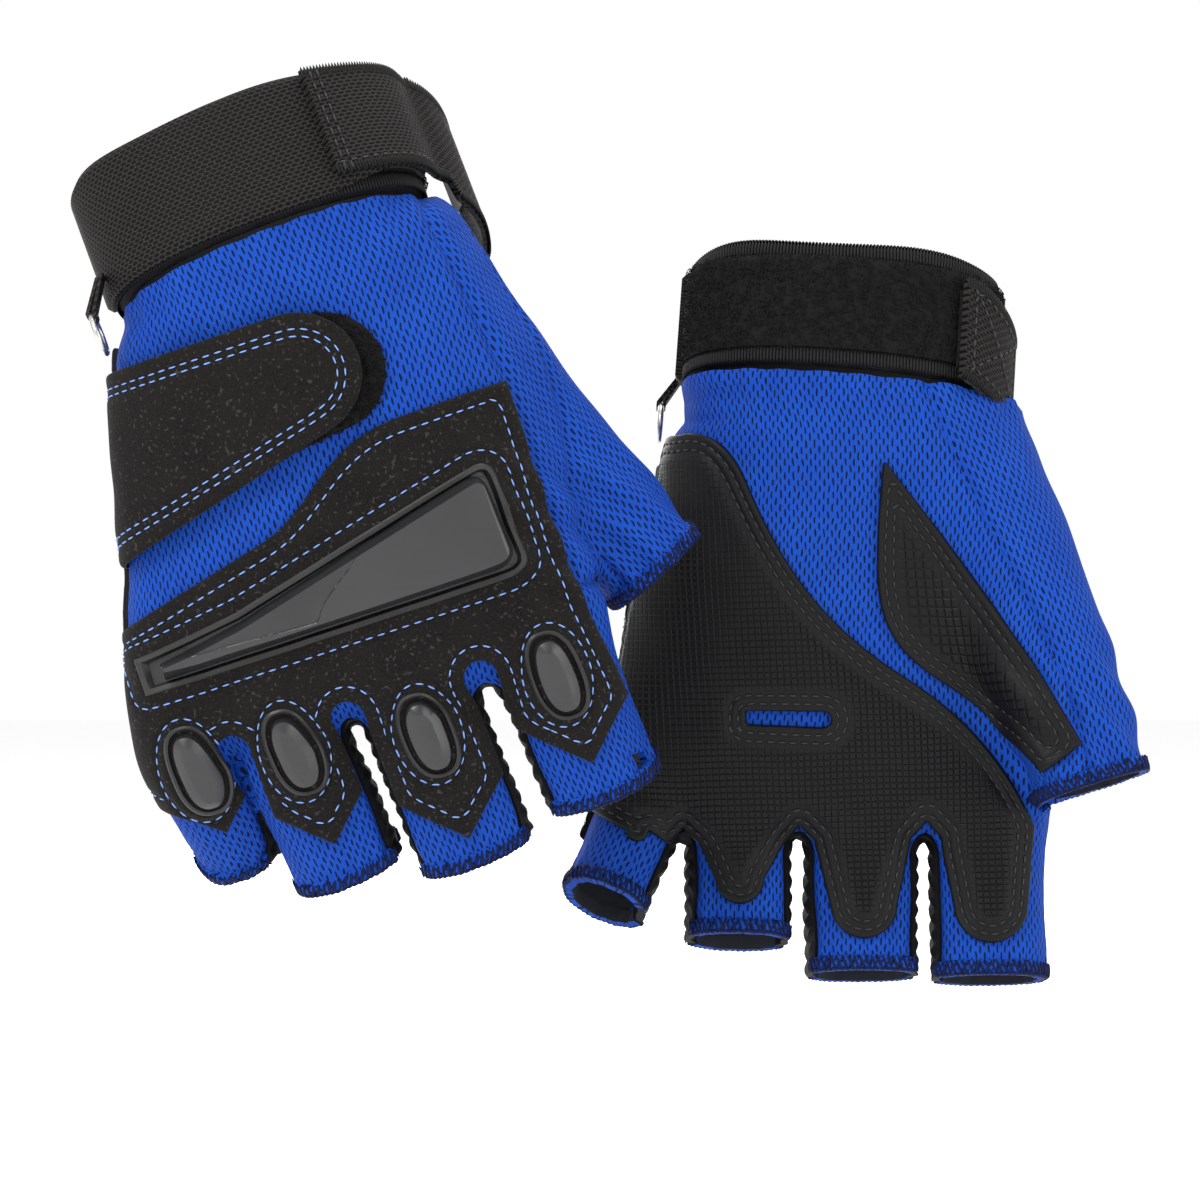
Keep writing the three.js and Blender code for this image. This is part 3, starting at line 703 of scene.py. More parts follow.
def mixed(tree, factor, first, second):
    """The blend of two colours, each a colour or a socket."""
    ends = {k: v if isinstance(v, bpy.types.NodeSocket) else (*v, 1) for k, v in ((6, first), (7, second))}
    return node(tree, "ShaderNodeMix", {"Factor": factor, **ends}, data_type="RGBA").outputs[2]


def ramp(tree, value, low, high, to_low=0.0, to_high=1.0):
    ends = {"Value": value, "From Min": low, "From Max": high, "To Min": to_low, "To Max": to_high}
    return node(tree, "ShaderNodeMapRange", ends).outputs[0]


def bumped(tree, shader, height, strength, distance):
    bump = node(tree, "ShaderNodeBump", {"Height": height, "Strength": strength, "Distance": distance})
    tree.links.new(bump.outputs[0], shader.inputs["Normal"])


def noise(tree, vector, scale, detail=2.0):
    return node(tree, "ShaderNodeTexNoise", {"Vector": vector, "Scale": scale, "Detail": detail}).outputs[0]


def mesh_knit():
    """Royal-blue knit with staggered rows of slits, 1.5 mm long, and fine ribs between them."""
    made, tree, shader = principled("mesh_knit", (0.003, 0.04, 0.3), 0.8, Specular_IOR_Level=0.15)
    column_width, slit_pitch = 0.86, 2.5
    cloth = node(tree, "ShaderNodeUVMap", uv_map="cloth").outputs[0]
    wander = node(tree, "ShaderNodeTexNoise", {"Vector": cloth, "Scale": 0.3, "Detail": 1.0}).outputs["Color"]
    drift = node(tree, "ShaderNodeVectorMath", {0: wander, 1: (1.1, 1.1, 0)}, operation="MULTIPLY").outputs[0]
    moved = node(tree, "ShaderNodeVectorMath", {0: cloth, 1: drift}, operation="ADD").outputs[0]
    split = node(tree, "ShaderNodeSeparateXYZ", {0: moved})
    across, along = split.outputs[0], split.outputs[1]
    column = sum_node(tree, "DIVIDE", across, column_width)
    odd = sum_node(tree, "FLOORED_MODULO", sum_node(tree, "FLOOR", column), 2.0)
    row = sum_node(
        tree, "ADD", sum_node(tree, "DIVIDE", along, slit_pitch), sum_node(tree, "MULTIPLY", odd, 0.5)
    )
    off_column = sum_node(tree, "SUBTRACT", sum_node(tree, "FRACT", column), 0.5)
    off_row = sum_node(tree, "SUBTRACT", sum_node(tree, "FRACT", row), 0.5)
    wide = sum_node(tree, "ABSOLUTE", sum_node(tree, "DIVIDE", off_column, 0.21))
    long = sum_node(tree, "ABSOLUTE", sum_node(tree, "DIVIDE", off_row, 0.3))
    size = sum_node(tree, "ADD", sum_node(tree, "POWER", wide, 2.0), sum_node(tree, "POWER", long, 3.0))
    slit = ramp(tree, size, 0.5, 1.5, 1.0, 0.0)
    ribs = sum_node(tree, "SINE", sum_node(tree, "MULTIPLY", across, 2 * math.pi / column_width * 2))
    rows = sum_node(tree, "SINE", sum_node(tree, "MULTIPLY", along, 14.0))
    knit = sum_node(tree, "MULTIPLY", ribs, sum_node(tree, "ADD", rows, 1.6))
    tone = mixed(tree, noise(tree, cloth, 0.1, 3.0), (0.0025, 0.04, 0.3), (0.005, 0.07, 0.42))
    tone = mixed(tree, sum_node(tree, "MULTIPLY_ADD", knit, 0.12, 0.22), tone, (0.003, 0.025, 0.2))
    tree.links.new(mixed(tree, slit, tone, (0.0008, 0.004, 0.03)), shader.inputs["Base Color"])
    height = sum_node(tree, "SUBTRACT", sum_node(tree, "MULTIPLY", knit, 0.1), slit)
    bumped(tree, shader, height, 0.6, 0.0003)
    return made


def plain_cloth(name, colour, roughness=0.9, scale=1500.0, strength=0.35, **sockets):
    """A fine matt cloth or thread, a little uneven in tone."""
    made, tree, shader = principled(name, colour, roughness, **sockets)
    grain = noise(tree, node(tree, "ShaderNodeTexCoord").outputs["Object"], scale)
    lighter = tuple(min(1, 1.9 * c + 0.001) for c in colour)
    tree.links.new(mixed(tree, grain, colour, lighter), shader.inputs["Base Color"])
    bumped(tree, shader, grain, strength, 0.0002)
    return made


BLUE_MESH = mesh_knit()
LINING = plain_cloth("lining", (0.006, 0.007, 0.011))

FORMS = {side: Form(side) for side in SIDES}
NETS = {side: surface_net(FORMS[side], (-66, -36, -128), (74, 38, 10), 1.45) for side in SIDES}

for side in SIDES:
    form = FORMS[side]
    points, faces = NETS[side]
    points, faces = cut(points, faces, form.below_cuff(points) - 0.2)
    points, faces = cut(points, faces, -form.past_end(points) - HEM_LENGTH)
    thumb = biggest_part(*cut(points, faces, form.thumb_side(points)))
    points, faces = cut(points, faces, -form.thumb_side(points))
    points, faces = cut(points, faces, -form.between_fingers(points))
    palmward = points[:, 1] - form.side_line(points)
    panels = {
        "thumb_panel": thumb,
        "back_panel": biggest_part(*cut(points, faces, -palmward)),
        "palm_panel": biggest_part(*cut(points, faces, palmward)),
    }
    for name, (points, faces) in panels.items():
        limbs = [form.digits["thumb"]] if name == "thumb_panel" else [
            form.palm, *(form.digits[n] for n in ACROSS_HAND)
        ]
        pulls = [np.exp(-np.clip(limb.distance(points), -8, 25) / 3)[:, None] for limb in limbs]
        along = sum(pull * limb.onward(-points[:, 2]) for pull, limb in zip(pulls, limbs)) / sum(pulls)
        cloth = flattened(points, faces, along)
        points, faces, cloth = refined(form, points, faces, cloth)
        _, normals = form.slopes(points)
        seams = [form.thumb_side(points), points[:, 1] - form.side_line(points), form.between_fingers(points)]
        seam = np.min(np.abs(seams), axis=0)
        ridge = 0.25 * np.exp(-(((seam - 2.1) / 0.9) ** 2)) - SEAM_DIP * np.exp(-((seam / 0.8) ** 2))
        top = form.folds(points) + ridge
        solid, every, is_lower = thickened(points, normals, faces, top, top - FABRIC)
        piece = made_piece(
            name, side, solid, every, [BLUE_MESH, LINING], is_lower, cloth=np.tile(cloth, (2, 1))
        )
        fitted(piece, "root", "mesh_knit", f"{side}_{name}")


# ---------------------------------------------------------------- strips between the fingers
# Black stretch knit let in between the fingers, from inside each notch to the openings. It is
# thin and springy, so it creases across and its ends stand a little past the hems.

STRETCH_KNIT = plain_cloth("stretch_knit", (0.0026, 0.0026, 0.0031), 0.75, 2200.0, Specular_IOR_Level=0.2)

for side in SIDES:
    form = FORMS[side]
    points, faces = NETS[side]
    points, faces = cut(points, faces, form.between_fingers(points) - 0.1)
    points, faces = cut(points, faces, -form.past_end(points) - 0.2)
    points, faces = refined(form, points, faces)
    _, normals = form.slopes(points)
    down = -points[:, 2]
    creases = 0.28 * np.sin(down * 1.9 + 1.5 * np.sin(points[:, 1] * 0.6 + points[:, 0]))
    top = form.folds(points) + creases * smooth_step(form.between_fingers(points), 0, 1.5) - 0.1
    solid, every, _ = thickened(points, normals, faces, top, top - FABRIC)
    strips = made_piece("finger_strips", side, solid, every, [STRETCH_KNIT])
    gaps = [f"{side}_fourchette_{a}_{b}" for a, b in zip(ACROSS_HAND[:-1], ACROSS_HAND[1:])]
    fitted(strips, "root", "stretch_knit", *gaps)

# ---------------------------------------------------------------- hems
# The mesh is turned under at each opening and overlocked: navy thread goes over the edge in close
# slanting loops, and a chain of thread runs round the very end.


def row_tree():
    """Rows of thread along edges: short rounded stitches, all at one slant to their row."""
    tree = bpy.data.node_groups.new("thread_row", "GeometryNodeTree")
    face = tree.interface
    sockets = {}
    face.new_socket("Geometry", in_out="INPUT", socket_type="NodeSocketGeometry")
    for name in ("Pitch", "Length", "Thickness", "Slant"):
        sockets[name] = face.new_socket(name, in_out="INPUT", socket_type="NodeSocketFloat").identifier
    sockets["Material"] = face.new_socket(
        "Material", in_out="INPUT", socket_type="NodeSocketMaterial"
    ).identifier
    face.new_socket("Geometry", in_out="OUTPUT", socket_type="NodeSocketGeometry")
    given = tree.nodes.new("NodeGroupInput").outputs
    curve = node(tree, "GeometryNodeMeshToCurve", {"Mesh": given["Geometry"]})
    even = node(
        tree, "GeometryNodeResampleCurve", {
            "Curve": curve.outputs[0], "Length": given["Pitch"]
        }, mode="LENGTH"
    )
    up = node(tree, "GeometryNodeInputNamedAttribute", {"Name": "up"}, data_type="FLOAT_VECTOR").outputs[0]
    ahead = tree.nodes.new("GeometryNodeInputTangent").outputs[0]
    stood = node(tree, "FunctionNodeAlignRotationToVector", {"Vector": up}, axis="Z")
    faced = node(
        tree, "FunctionNodeAlignRotationToVector", {
            "Rotation": stood.outputs[0], "Vector": ahead
        }, axis="X", pivot_axis="Z"
    )
    slanted = node(tree, "FunctionNodeAxisAngleToRotation", {"Axis": (0, 0, 1), "Angle": given["Slant"]})
    turned = node(
        tree,
        "FunctionNodeRotateRotation",
        {"Rotation": faced.outputs[0], "Rotate By": slanted.outputs[0]},
        rotation_space="LOCAL",
    )
    bead = node(tree, "GeometryNodeMeshUVSphere", {"Segments": 6, "Rings": 5, "Radius": 0.5})
    size = node(
        tree, "ShaderNodeCombineXYZ", {0: given["Length"], 1: given["Thickness"], 2: given["Thickness"]}
    )
    laid = node(
        tree,
        "GeometryNodeInstanceOnPoints",
        {
            "Points": even.outputs[0],
            "Instance": bead.outputs[0],
            "Rotation": turned.outputs[0],
            "Scale": size.outputs[0],
        },
    )
    real = node(tree, "GeometryNodeRealizeInstances", {"Geometry": laid.outputs[0]})
    shaded = node(tree, "GeometryNodeSetShadeSmooth", {"Geometry": real.outputs[0]})
    painted = node(
        tree, "GeometryNodeSetMaterial", {"Geometry": shaded.outputs[0], "Material": given["Material"]}
    )
    node(tree, "NodeGroupOutput", {0: painted.outputs[0]})
    return tree, sockets


THREAD_ROW, THREAD_SOCKETS = row_tree()


def level_lines(points, faces, field):
    """The lines on a mesh along which field is 0, each a list of points in order."""
    above = field > 0
    kept = above[faces].sum(1)
    crossed = faces[(kept == 1) | (kept == 2)]
    rows = np.arange(len(crossed))
    lone = np.where(above[crossed].sum(1) == 1, above[crossed].argmax(1), (~above[crossed]).argmax(1))
    a, b, c = (crossed[rows, (lone + k) % 3] for k in range(3))
    pairs = np.sort(np.concatenate([np.stack([a, b], -1), np.stack([a, c], -1)]), axis=1)
    edges, place = np.unique(pairs, axis=0, return_inverse=True)
    links = place.reshape(2, -1).T
    ends = field[edges]
    share = ends[:, :1] / (ends[:, :1] - ends[:, 1:])
    spots = points[edges[:, 0]] + share * (points[edges[:, 1]] - points[edges[:, 0]])
    joined = [[] for _ in edges]
    for first, second in links:
        joined[first].append(second)
        joined[second].append(first)
    unused = set(range(len(edges)))
    lines = []
    for start in sorted(unused, key=lambda spot: (len(joined[spot]), spot)):
        if start not in unused:
            continue
        line = [start]
        unused.discard(start)
        while True:
            onward = [spot for spot in joined[line[-1]] if spot in unused]
            if not onward:
                break
            line.append(onward[0])
            unused.discard(onward[0])
        if len(line) > 2 and start in joined[line[-1]]:
            line.append(start)
        lines.append(spots[line])
    return lines


def spaced(line, gap):
    """The line with its points evenly spaced, about gap apart, and evened out."""
    step = np.linalg.norm(np.diff(line, axis=0), axis=1)
    length = np.concatenate([[0], np.cumsum(step)])
    marks = np.linspace(0, length[-1], max(3, int(length[-1] / gap) + 1))
    even = np.stack([np.interp(marks, length, line[:, k]) for k in range(3)], -1)
    for _ in range(2):
        even[1:-1] = (even[:-2] + 2 * even[1:-1] + even[2:]) / 4
    return even


def thread_rows(name, side, rows, body, slot, material, pitch, length, thickness, slant=0.0):
    """Thread laid along rows, each a line of points and the directions away from the cloth."""
    turn, _ = PLACES[side]
    mesh = bpy.data.meshes.new(name)
    starts = np.cumsum([0] + [len(line) for line, _ in rows])
    edges = [(k, k + 1) for first, last in zip(starts[:-1], starts[1:]) for k in range(first, last - 1)]
    mesh.from_pydata(placed(side, np.concatenate([line for line, _ in rows])).tolist(), edges, [])
    ups = np.concatenate([up for _, up in rows]) @ turn.T
    mesh.attributes.new("up", "FLOAT_VECTOR", "POINT").data.foreach_set(
        "vector", ups.astype(np.float32).ravel()
    )
    piece = bpy.data.objects.new(f"{name}_{side}", mesh)
    scene.collection.objects.link(piece)
    sewing = piece.modifiers.new("sewing", "NODES")
    sewing.node_group = THREAD_ROW
    if side == "left":
        slant = -slant
    values = dict(Pitch=pitch * MM, Length=length * MM, Thickness=thickness * MM, Slant=math.radians(slant))
    for socket, value in values.items():
        sewing[THREAD_SOCKETS[socket]] = value
    sewing[THREAD_SOCKETS["Material"]] = material
    worked = bpy.data.meshes.new_from_object(piece.evaluated_get(bpy.context.evaluated_depsgraph_get()))
    piece.modifiers.clear()
    piece.data = worked
    fitted(piece, body, slot)
    return piece


def rows_at(form, lines, lift, gap=0.7, shortest=4):
    """Rows ready for thread: lines spaced evenly and raised off the form, folds and all."""
    rows = []
    for line in lines:
        if np.linalg.norm(np.diff(line, axis=0), axis=1).sum() < shortest:
            continue
        line = spaced(line, gap)
        _, up = form.slopes(line)
        rows.append((line + up * (form.folds(line) + lift)[:, None], up))
    return rows


NAVY_THREAD = plain_cloth("navy_thread", (0.001, 0.0035, 0.026), 0.65, 3000.0, Specular_IOR_Level=0.15)

for side in SIDES:
    form = FORMS[side]
    points, faces = NETS[side]
    points, faces = cut(points, faces, form.past_end(points) + HEM_LENGTH)
    points, faces = cut(points, faces, -form.past_end(points))
    points, faces = cut(points, faces, 0.2 - form.between_fingers(points))
    points, faces = refined(form, points, faces)
    _, normals = form.slopes(points)
    past = form.past_end(points)
    roll = 0.55 * np.sqrt(np.clip(1 - (2 * (past + HEM_LENGTH / 2) / HEM_LENGTH) ** 2, 0, 1))
    top = form.folds(points) + roll
    cloth = np.stack([points[:, 0] + points[:, 1], -points[:, 2]], -1)
    solid, every, is_lower = thickened(points, normals, faces, top, form.folds(points) - FABRIC - 0.2)
    hem = made_piece("hems", side, solid, every, [BLUE_MESH, LINING], is_lower, cloth=np.tile(cloth, (2, 1)))
    fitted(hem, "root", "hem_thread", *(f"{side}_hem_{name}" for name in form.digits))
    middles = rows_at(form, level_lines(points, faces, past + 1.6), 0.62)
    ends = rows_at(form, level_lines(points, faces, past + 0.35), 0.1)
    thread_rows("hem_loops", side, middles, "root", "hem_thread", NAVY_THREAD, 1.15, 3.1, 0.62, 68)
    thread_rows("hem_loops_back", side, middles, "root", "hem_thread", NAVY_THREAD, 2.3, 3.0, 0.5, -55)
    thread_rows("hem_chain", side, ends, "root", "hem_thread", NAVY_THREAD, 1.15, 1.7, 1.0, 12)


# ---------------------------------------------------------------- suede back
# Black napped suede sewn over the back of the hand. It reaches down each finger in a pointed tab,
# with a notch between each two, and is stitched with pale blue thread just inside its edge.

OVER_SKIN = 0.15
SUEDE = 1.3
NOTCH_HALF_WIDTH = 3.4


def arc(x, y, radius, start, end, steps=14):
    turn = np.linspace(start, end, steps)
    return [(x + radius * math.cos(t), y + radius * math.sin(t)) for t in turn]


def bend(*knots, steps=12):
    """Points along a Bezier curve, without its first."""
    found = []
    for t in np.linspace(0, 1, steps + 1)[1:]:
        row = [np.array(knot, float) for knot in knots]
        while len(row) > 1:
            row = [(1 - t) * a + t * b for a, b in zip(row[:-1], row[1:])]
        found.append(tuple(row[0]))
    return found


def inside(outline, points):
    """How far each point lies inside an outline in x and down, minus if outside."""
    x, y = points[:, 0], -points[:, 2]
    corners = np.array(outline, float)
    nearest = np.full(len(points), 1e9)
    odd = np.zeros(len(points), bool)
    for (ax, ay), (bx, by) in zip(corners, np.roll(corners, -1, axis=0)):
        ex, ey = bx - ax, by - ay
        t = np.clip(((x - ax) * ex + (y - ay) * ey) / max(ex * ex + ey * ey, 1e-12), 0, 1)
        nearest = np.minimum(nearest, (x - ax - t * ex) ** 2 + (y - ay - t * ey) ** 2)
        if ay != by:
            odd ^= ((ay > y) != (by > y)) & (x < ax + ex * (y - ay) / ey)
    return np.where(odd, 1, -1) * np.sqrt(nearest)


def tab_tip(side, name, back):
    return POSES[side]["fingers"][name][3] - back


def overlay_outline(form):
    side = form.side
    x = [float(palm_x(side, d)) for d in (50, 45, 40, 36)]
    outline = [(-62, 63), (x[0] - 14, 50.5)]
    outline += bend(outline[-1], (x[1] - 4, 47.5), (x[2], 37.5), (x[3] + 14, 35.8))
    outline += [(float(form.back_seam(d)) - 1, d) for d in (34.5, 48, 62, 78)]
    for name in reversed(ACROSS_HAND):
        half = FINGERS[name]["tab"]
        tip = tab_tip(side, name, FINGERS[name]["tab_back"])
        shoulder = tip - half
        middle = float(form.digit_x(name, shoulder))
        outline += [(middle + half, shoulder), (float(form.digit_x(name, tip)), tip)]
        if name == "pinky":
            outline.append((-62, shoulder - 12))
            continue
        outline.append((middle - half, shoulder))
        following = ACROSS_HAND[ACROSS_HAND.index(name) - 1]
        notch = float(form.between_x(following, name, PALM_LENGTH))
        outline += arc(notch, PALM_LENGTH + 1, NOTCH_HALF_WIDTH, 0, -math.pi)
    return outline


def guard_outline(form, inset):
    edge = float(palm_x(form.side, 65))
    outline = [
        (edge - 42.5 + inset * 2, 64.5 + inset),
        (edge - 22, 61.3 + inset),
        (edge + 27 - inset, 48 + inset),
    ]
    outline += bend(outline[-1], (edge + 30.4 - inset, 47.4 + inset), (edge + 30.8 - inset, 51 + inset))
    outline.append((edge + 32 - inset, 66.5 - inset))
    outline += bend(outline[-1], (edge + 31.8 - inset, 69.6 - inset), (edge + 28 - inset, 69.8 - inset))
    outline.append((edge - 42.5 + inset * 2, 71.6 - inset))
    return outline


def pad_oval(form, name, half_width, half_length):
    down = FINGERS[name]["pad_down"]
    middle = float(form.digit_x(name, down))
    turn = np.linspace(0, 2 * math.pi, 41)[:-1]
    return [(middle + half_width * math.cos(t), down + half_length * math.sin(t)) for t in turn]


def suede():
    """Black suede: short nap, brushed in soft patches, with paler specks."""
    made, tree, shader = principled(
        "suede", (0.005, 0.0045, 0.0043), 0.95, Specular_IOR_Level=0.12, Sheen_Weight=0.03
    )
    place = node(tree, "ShaderNodeTexCoord").outputs["Object"]
    nap = noise(tree, place, 2600.0, 3.0)
    patches = noise(tree, place, 130.0, 3.0)
    specks = ramp(tree, noise(tree, place, 1500.0, 0.0), 0.66, 0.8)
    tone = mixed(tree, ramp(tree, patches, 0.3, 0.7), (0.0032, 0.0029, 0.0028), (0.0068, 0.006, 0.0056))
    tone = mixed(tree, ramp(tree, nap, 0.35, 0.75), tone, (0.011, 0.0098, 0.009))
    tree.links.new(
        mixed(tree, sum_node(tree, "MULTIPLY", specks, 0.5), tone, (0.05, 0.046, 0.043)),
        shader.inputs["Base Color"],
    )
    bumped(tree, shader, nap, 0.7, 0.00025)
    return made


def rounded(distance, reach=0.9, depth=0.7):
    """How far a cut edge drops, at each distance in from it."""
    t = np.clip(distance / reach, 0, 1)
    return depth * (1 - np.sqrt(1 - (1 - t) ** 2))


def stitch_groove(distance, row):
    return 0.28 * np.exp(-(((distance - row) / 0.55) ** 2))


SUEDE_BLACK = suede()
PALE_THREAD = plain_cloth("pale_blue_thread", (0.11, 0.19, 0.42), 0.6, 4000.0, Specular_IOR_Level=0.2)
STITCH = dict(pitch=2.35, length=1.7, thickness=0.34)
OVERLAY_ROW, GUARD_ROW, OVAL_ROW = 2.7, 2.4, 1.4
WELL_HALF = (4.6, 8.5)
BORDER = 3.6

for side in SIDES:
    form = FORMS[side]
    outline, recess = overlay_outline(form), guard_outline(form, 0)
    ovals = [pad_oval(form, name, *WELL_HALF) for name in ACROSS_HAND]
    points, faces = NETS[side]
    points, faces = cut(points, faces, inside(outline, points) + 2)
    points, faces = cut(points, faces, form.side_line(points) - points[:, 1] - 0.8)
    points, faces = refined(form, points, faces)
    points, faces = cut(points, faces, inside(outline, points))
    points, faces = cut(points, faces, -inside(recess, points) + 0.4)
    points, faces = biggest_part(*cut(points, faces, -form.between_fingers(points) - 0.2))

    def near_border(spots, outline=outline, openings=(recess, *ovals)):
        beyond = -np.max([inside(opening, spots) for opening in openings], axis=0)
        return np.minimum(inside(outline, spots), beyond) < BORDER

    points, faces = refined(form, points, faces, near=near_border)
    _, normals = form.slopes(points)
    edge = inside(outline, points)
    round_guard = -inside(recess, points)
    round_oval = -np.max([inside(oval, points) for oval in ovals], axis=0)
    top = form.folds(points) + OVER_SKIN + SUEDE - rounded(np.minimum(edge, round_guard + 0.6))
    clear = round_oval > OVAL_ROW + 1.1
    top -= stitch_groove(edge, OVERLAY_ROW) * clear + stitch_groove(round_guard, GUARD_ROW)
    top -= stitch_groove(round_oval, OVAL_ROW)
    top += 0.35 * np.exp(-((round_oval / 1.0) ** 2)) + 0.3 * np.exp(-((round_guard / 1.2) ** 2))
    solid, every, _ = thickened(points, normals, faces, top, form.folds(points) + OVER_SKIN)
    overlay = made_piece("back_overlay", side, solid, every, [SUEDE_BLACK])
    fitted(overlay, "root", "suede", f"{side}_back_overlay")

    def runs(line, keep, shortest=4):
        """The stretches of a line where keep holds."""
        marks = np.flatnonzero(np.diff(np.concatenate([[0], keep.astype(int), [0]])))
        return [line[a:b] for a, b in zip(marks[::2], marks[1::2]) if b - a > shortest]

    lines = []
    for line in level_lines(points, faces, edge - OVERLAY_ROW):
        off_oval = -np.max([inside(oval, line) for oval in ovals], axis=0) > OVAL_ROW + 1.1
        lines += runs(line, off_oval & (-inside(recess, line) > GUARD_ROW + 1.0))
    lines += [line for line in level_lines(points, faces, round_guard - GUARD_ROW)]
    for line in level_lines(points, faces, round_oval - OVAL_ROW):
        lines += runs(line, inside(outline, line) > 0.6)
    rows = rows_at(form, lines, OVER_SKIN + SUEDE - 0.12)
    thread_rows("overlay_stitches", side, rows, "root", "hem_thread", PALE_THREAD, **STITCH)

# ---------------------------------------------------------------- knuckle guard
# A hard wedge moulded in satin dark-grey plastic, with one flat facet sunk across its upper left.
# It is bonded into a black rubber tray let into the suede, with a gap all round it.


def satin_plastic(name, dark, light, roughness):
    made, tree, shader = principled(name, dark, roughness, Coat_Weight=0.15, Coat_Roughness=0.3)
    place = node(tree, "ShaderNodeTexCoord").outputs["Object"]
    cloud = noise(tree, place, 60.0, 4.0)
    stretched = node(
        tree, "ShaderNodeMapping", {"Vector": place, "Scale": (90, 90, 1400), "Rotation": (0, 0.6, 0)}
    )
    scuffs = ramp(tree, noise(tree, stretched.outputs[0], 1.0, 3.0), 0.58, 0.75)
    grain = noise(tree, place, 3500.0)
    tree.links.new(mixed(tree, cloud, dark, light), shader.inputs["Base Color"])
    rough = sum_node(tree, "MULTIPLY_ADD", scuffs, 0.18, roughness)
    tree.links.new(sum_node(tree, "MULTIPLY_ADD", cloud, 0.08, rough), shader.inputs["Roughness"])
    bumped(tree, shader, sum_node(tree, "ADD", grain, sum_node(tree, "MULTIPLY", scuffs, 0.4)), 0.12, 0.0001)
    return made


def scored(points, faces, field):
    """The same mesh with edges all along the line where field is 0."""
    first, first_faces = cut(points, faces, field)
    second, second_faces = cut(points, faces, -field)
    both = np.concatenate([first, second])
    keys, place = np.unique(np.round(both, 5), axis=0, return_inverse=True)
    faces = place.reshape(-1)[np.concatenate([first_faces, second_faces + len(first)])]
    distinct = (faces[:, 0] != faces[:, 1]) & (faces[:, 1] != faces[:, 2]) & (faces[:, 2] != faces[:, 0])
    return keys, faces[distinct]


GUARD_TOP = 4.7
GUARD_FOOT = 0.5
BEVEL = 1.3
GUARD_PLASTIC = satin_plastic("guard_plastic", (0.0075, 0.0078, 0.0085), (0.015, 0.0153, 0.0165), 0.34)
GUARD_RUBBER = satin_plastic("guard_rubber", (0.0018, 0.0018, 0.002), (0.0035, 0.0035, 0.004), 0.5)

for side in SIDES:
    form = FORMS[side]
    recess, plate_outline = guard_outline(form, 0), guard_outline(form, 2)
    points, faces = NETS[side]
    points, faces = cut(points, faces, inside(recess, points) + 1)
    points, faces = cut(points, faces, form.side_line(points) - points[:, 1] - 2)
    points, faces = refined(form, points, faces, times=2)

    tray, tray_faces = cut(points, faces, inside(recess, points) + 0.3)
    for level in (0.4, 1.1, 1.6):
        tray, tray_faces = scored(tray, tray_faces, inside(recess, tray) - level)
    _, normals = form.slopes(tray)
    depth = inside(recess, tray)
    top = OVER_SKIN + np.interp(depth, [-0.3, 0.4, 1.1, 1.6, 9], [1.2, 1.85, 1.7, GUARD_FOOT, GUARD_FOOT])
    solid, every, _ = thickened(tray, normals, tray_faces, form.folds(tray) + top, form.folds(tray))
    base = made_piece("guard_base", side, solid, every, [GUARD_RUBBER], crease=40)
    fitted(base, "root", "guard_rubber", f"{side}_guard_base")

    plate, plate_faces = cut(points, faces, inside(plate_outline, points))
    edge_x = float(palm_x(side, 65))

    def sunk_facet(spots):
        """How far each spot lies inside the sunk facet, across the plate's upper left."""
        x, down = spots[:, 0] - edge_x, -spots[:, 2]
        waist = 3.3 - 10.5 * smooth_step(down, 55.5, 67)
        return smooth_min(waist - x, 67.2 + 0.025 * x - down, 1.5)

    def right_end(spots):
        return (spots[:, 0] - edge_x) - 27.6 - 0.08 * (-spots[:, 2] - 58)

    for field in (lambda p: inside(plate_outline, p) - BEVEL, sunk_facet, right_end):
        plate, plate_faces = scored(plate, plate_faces, field(plate))
    plate = form.settle(plate)
    _, normals = form.slopes(plate)
    depth = np.maximum(inside(plate_outline, plate), 0)
    full = GUARD_TOP - 0.13 * np.maximum(sunk_facet(plate), 0) - 0.42 * np.maximum(right_end(plate), 0)
    full -= 0.35 * smooth_step(sunk_facet(plate), -0.05, 0.12)
    top = GUARD_FOOT + 0.6 + (full - GUARD_FOOT - 0.6) * np.clip(depth / BEVEL, 0, 1) ** 0.8
    solid, every, _ = thickened(plate, normals, plate_faces, top, GUARD_FOOT + 0.2)
    guard = made_piece("knuckle_guard", side, solid, every, [GUARD_PLASTIC], crease=14)
    fitted(guard, "root", "guard_plastic", f"{side}_knuckle_guard")

# ---------------------------------------------------------------- finger pads
# On each finger a slim bar of the same grey plastic, with chamfered sides and rounded ends, stands
# in an oval tray of black rubber that is pressed up through the suede.

PAD_PROFILE = (  # share of the tray's size, height above the hand's form, whether it is the bar
    (1.04, 1.2, False),
    (1.0, 1.95, False),
    (0.93, 2.25, False),
    (0.85, 2.05, False),
    (0.78, 1.3, False),
    (0.68, 1.25, False),
    (0.64, 2.9, True),
    (0.6, 3.3, True),
    (0.33, 4.2, True),
    (0.27, 4.3, True),
    (0.12, 4.35, True),
    (0.0, 4.35, True),
)
PAD_SIDES = 64

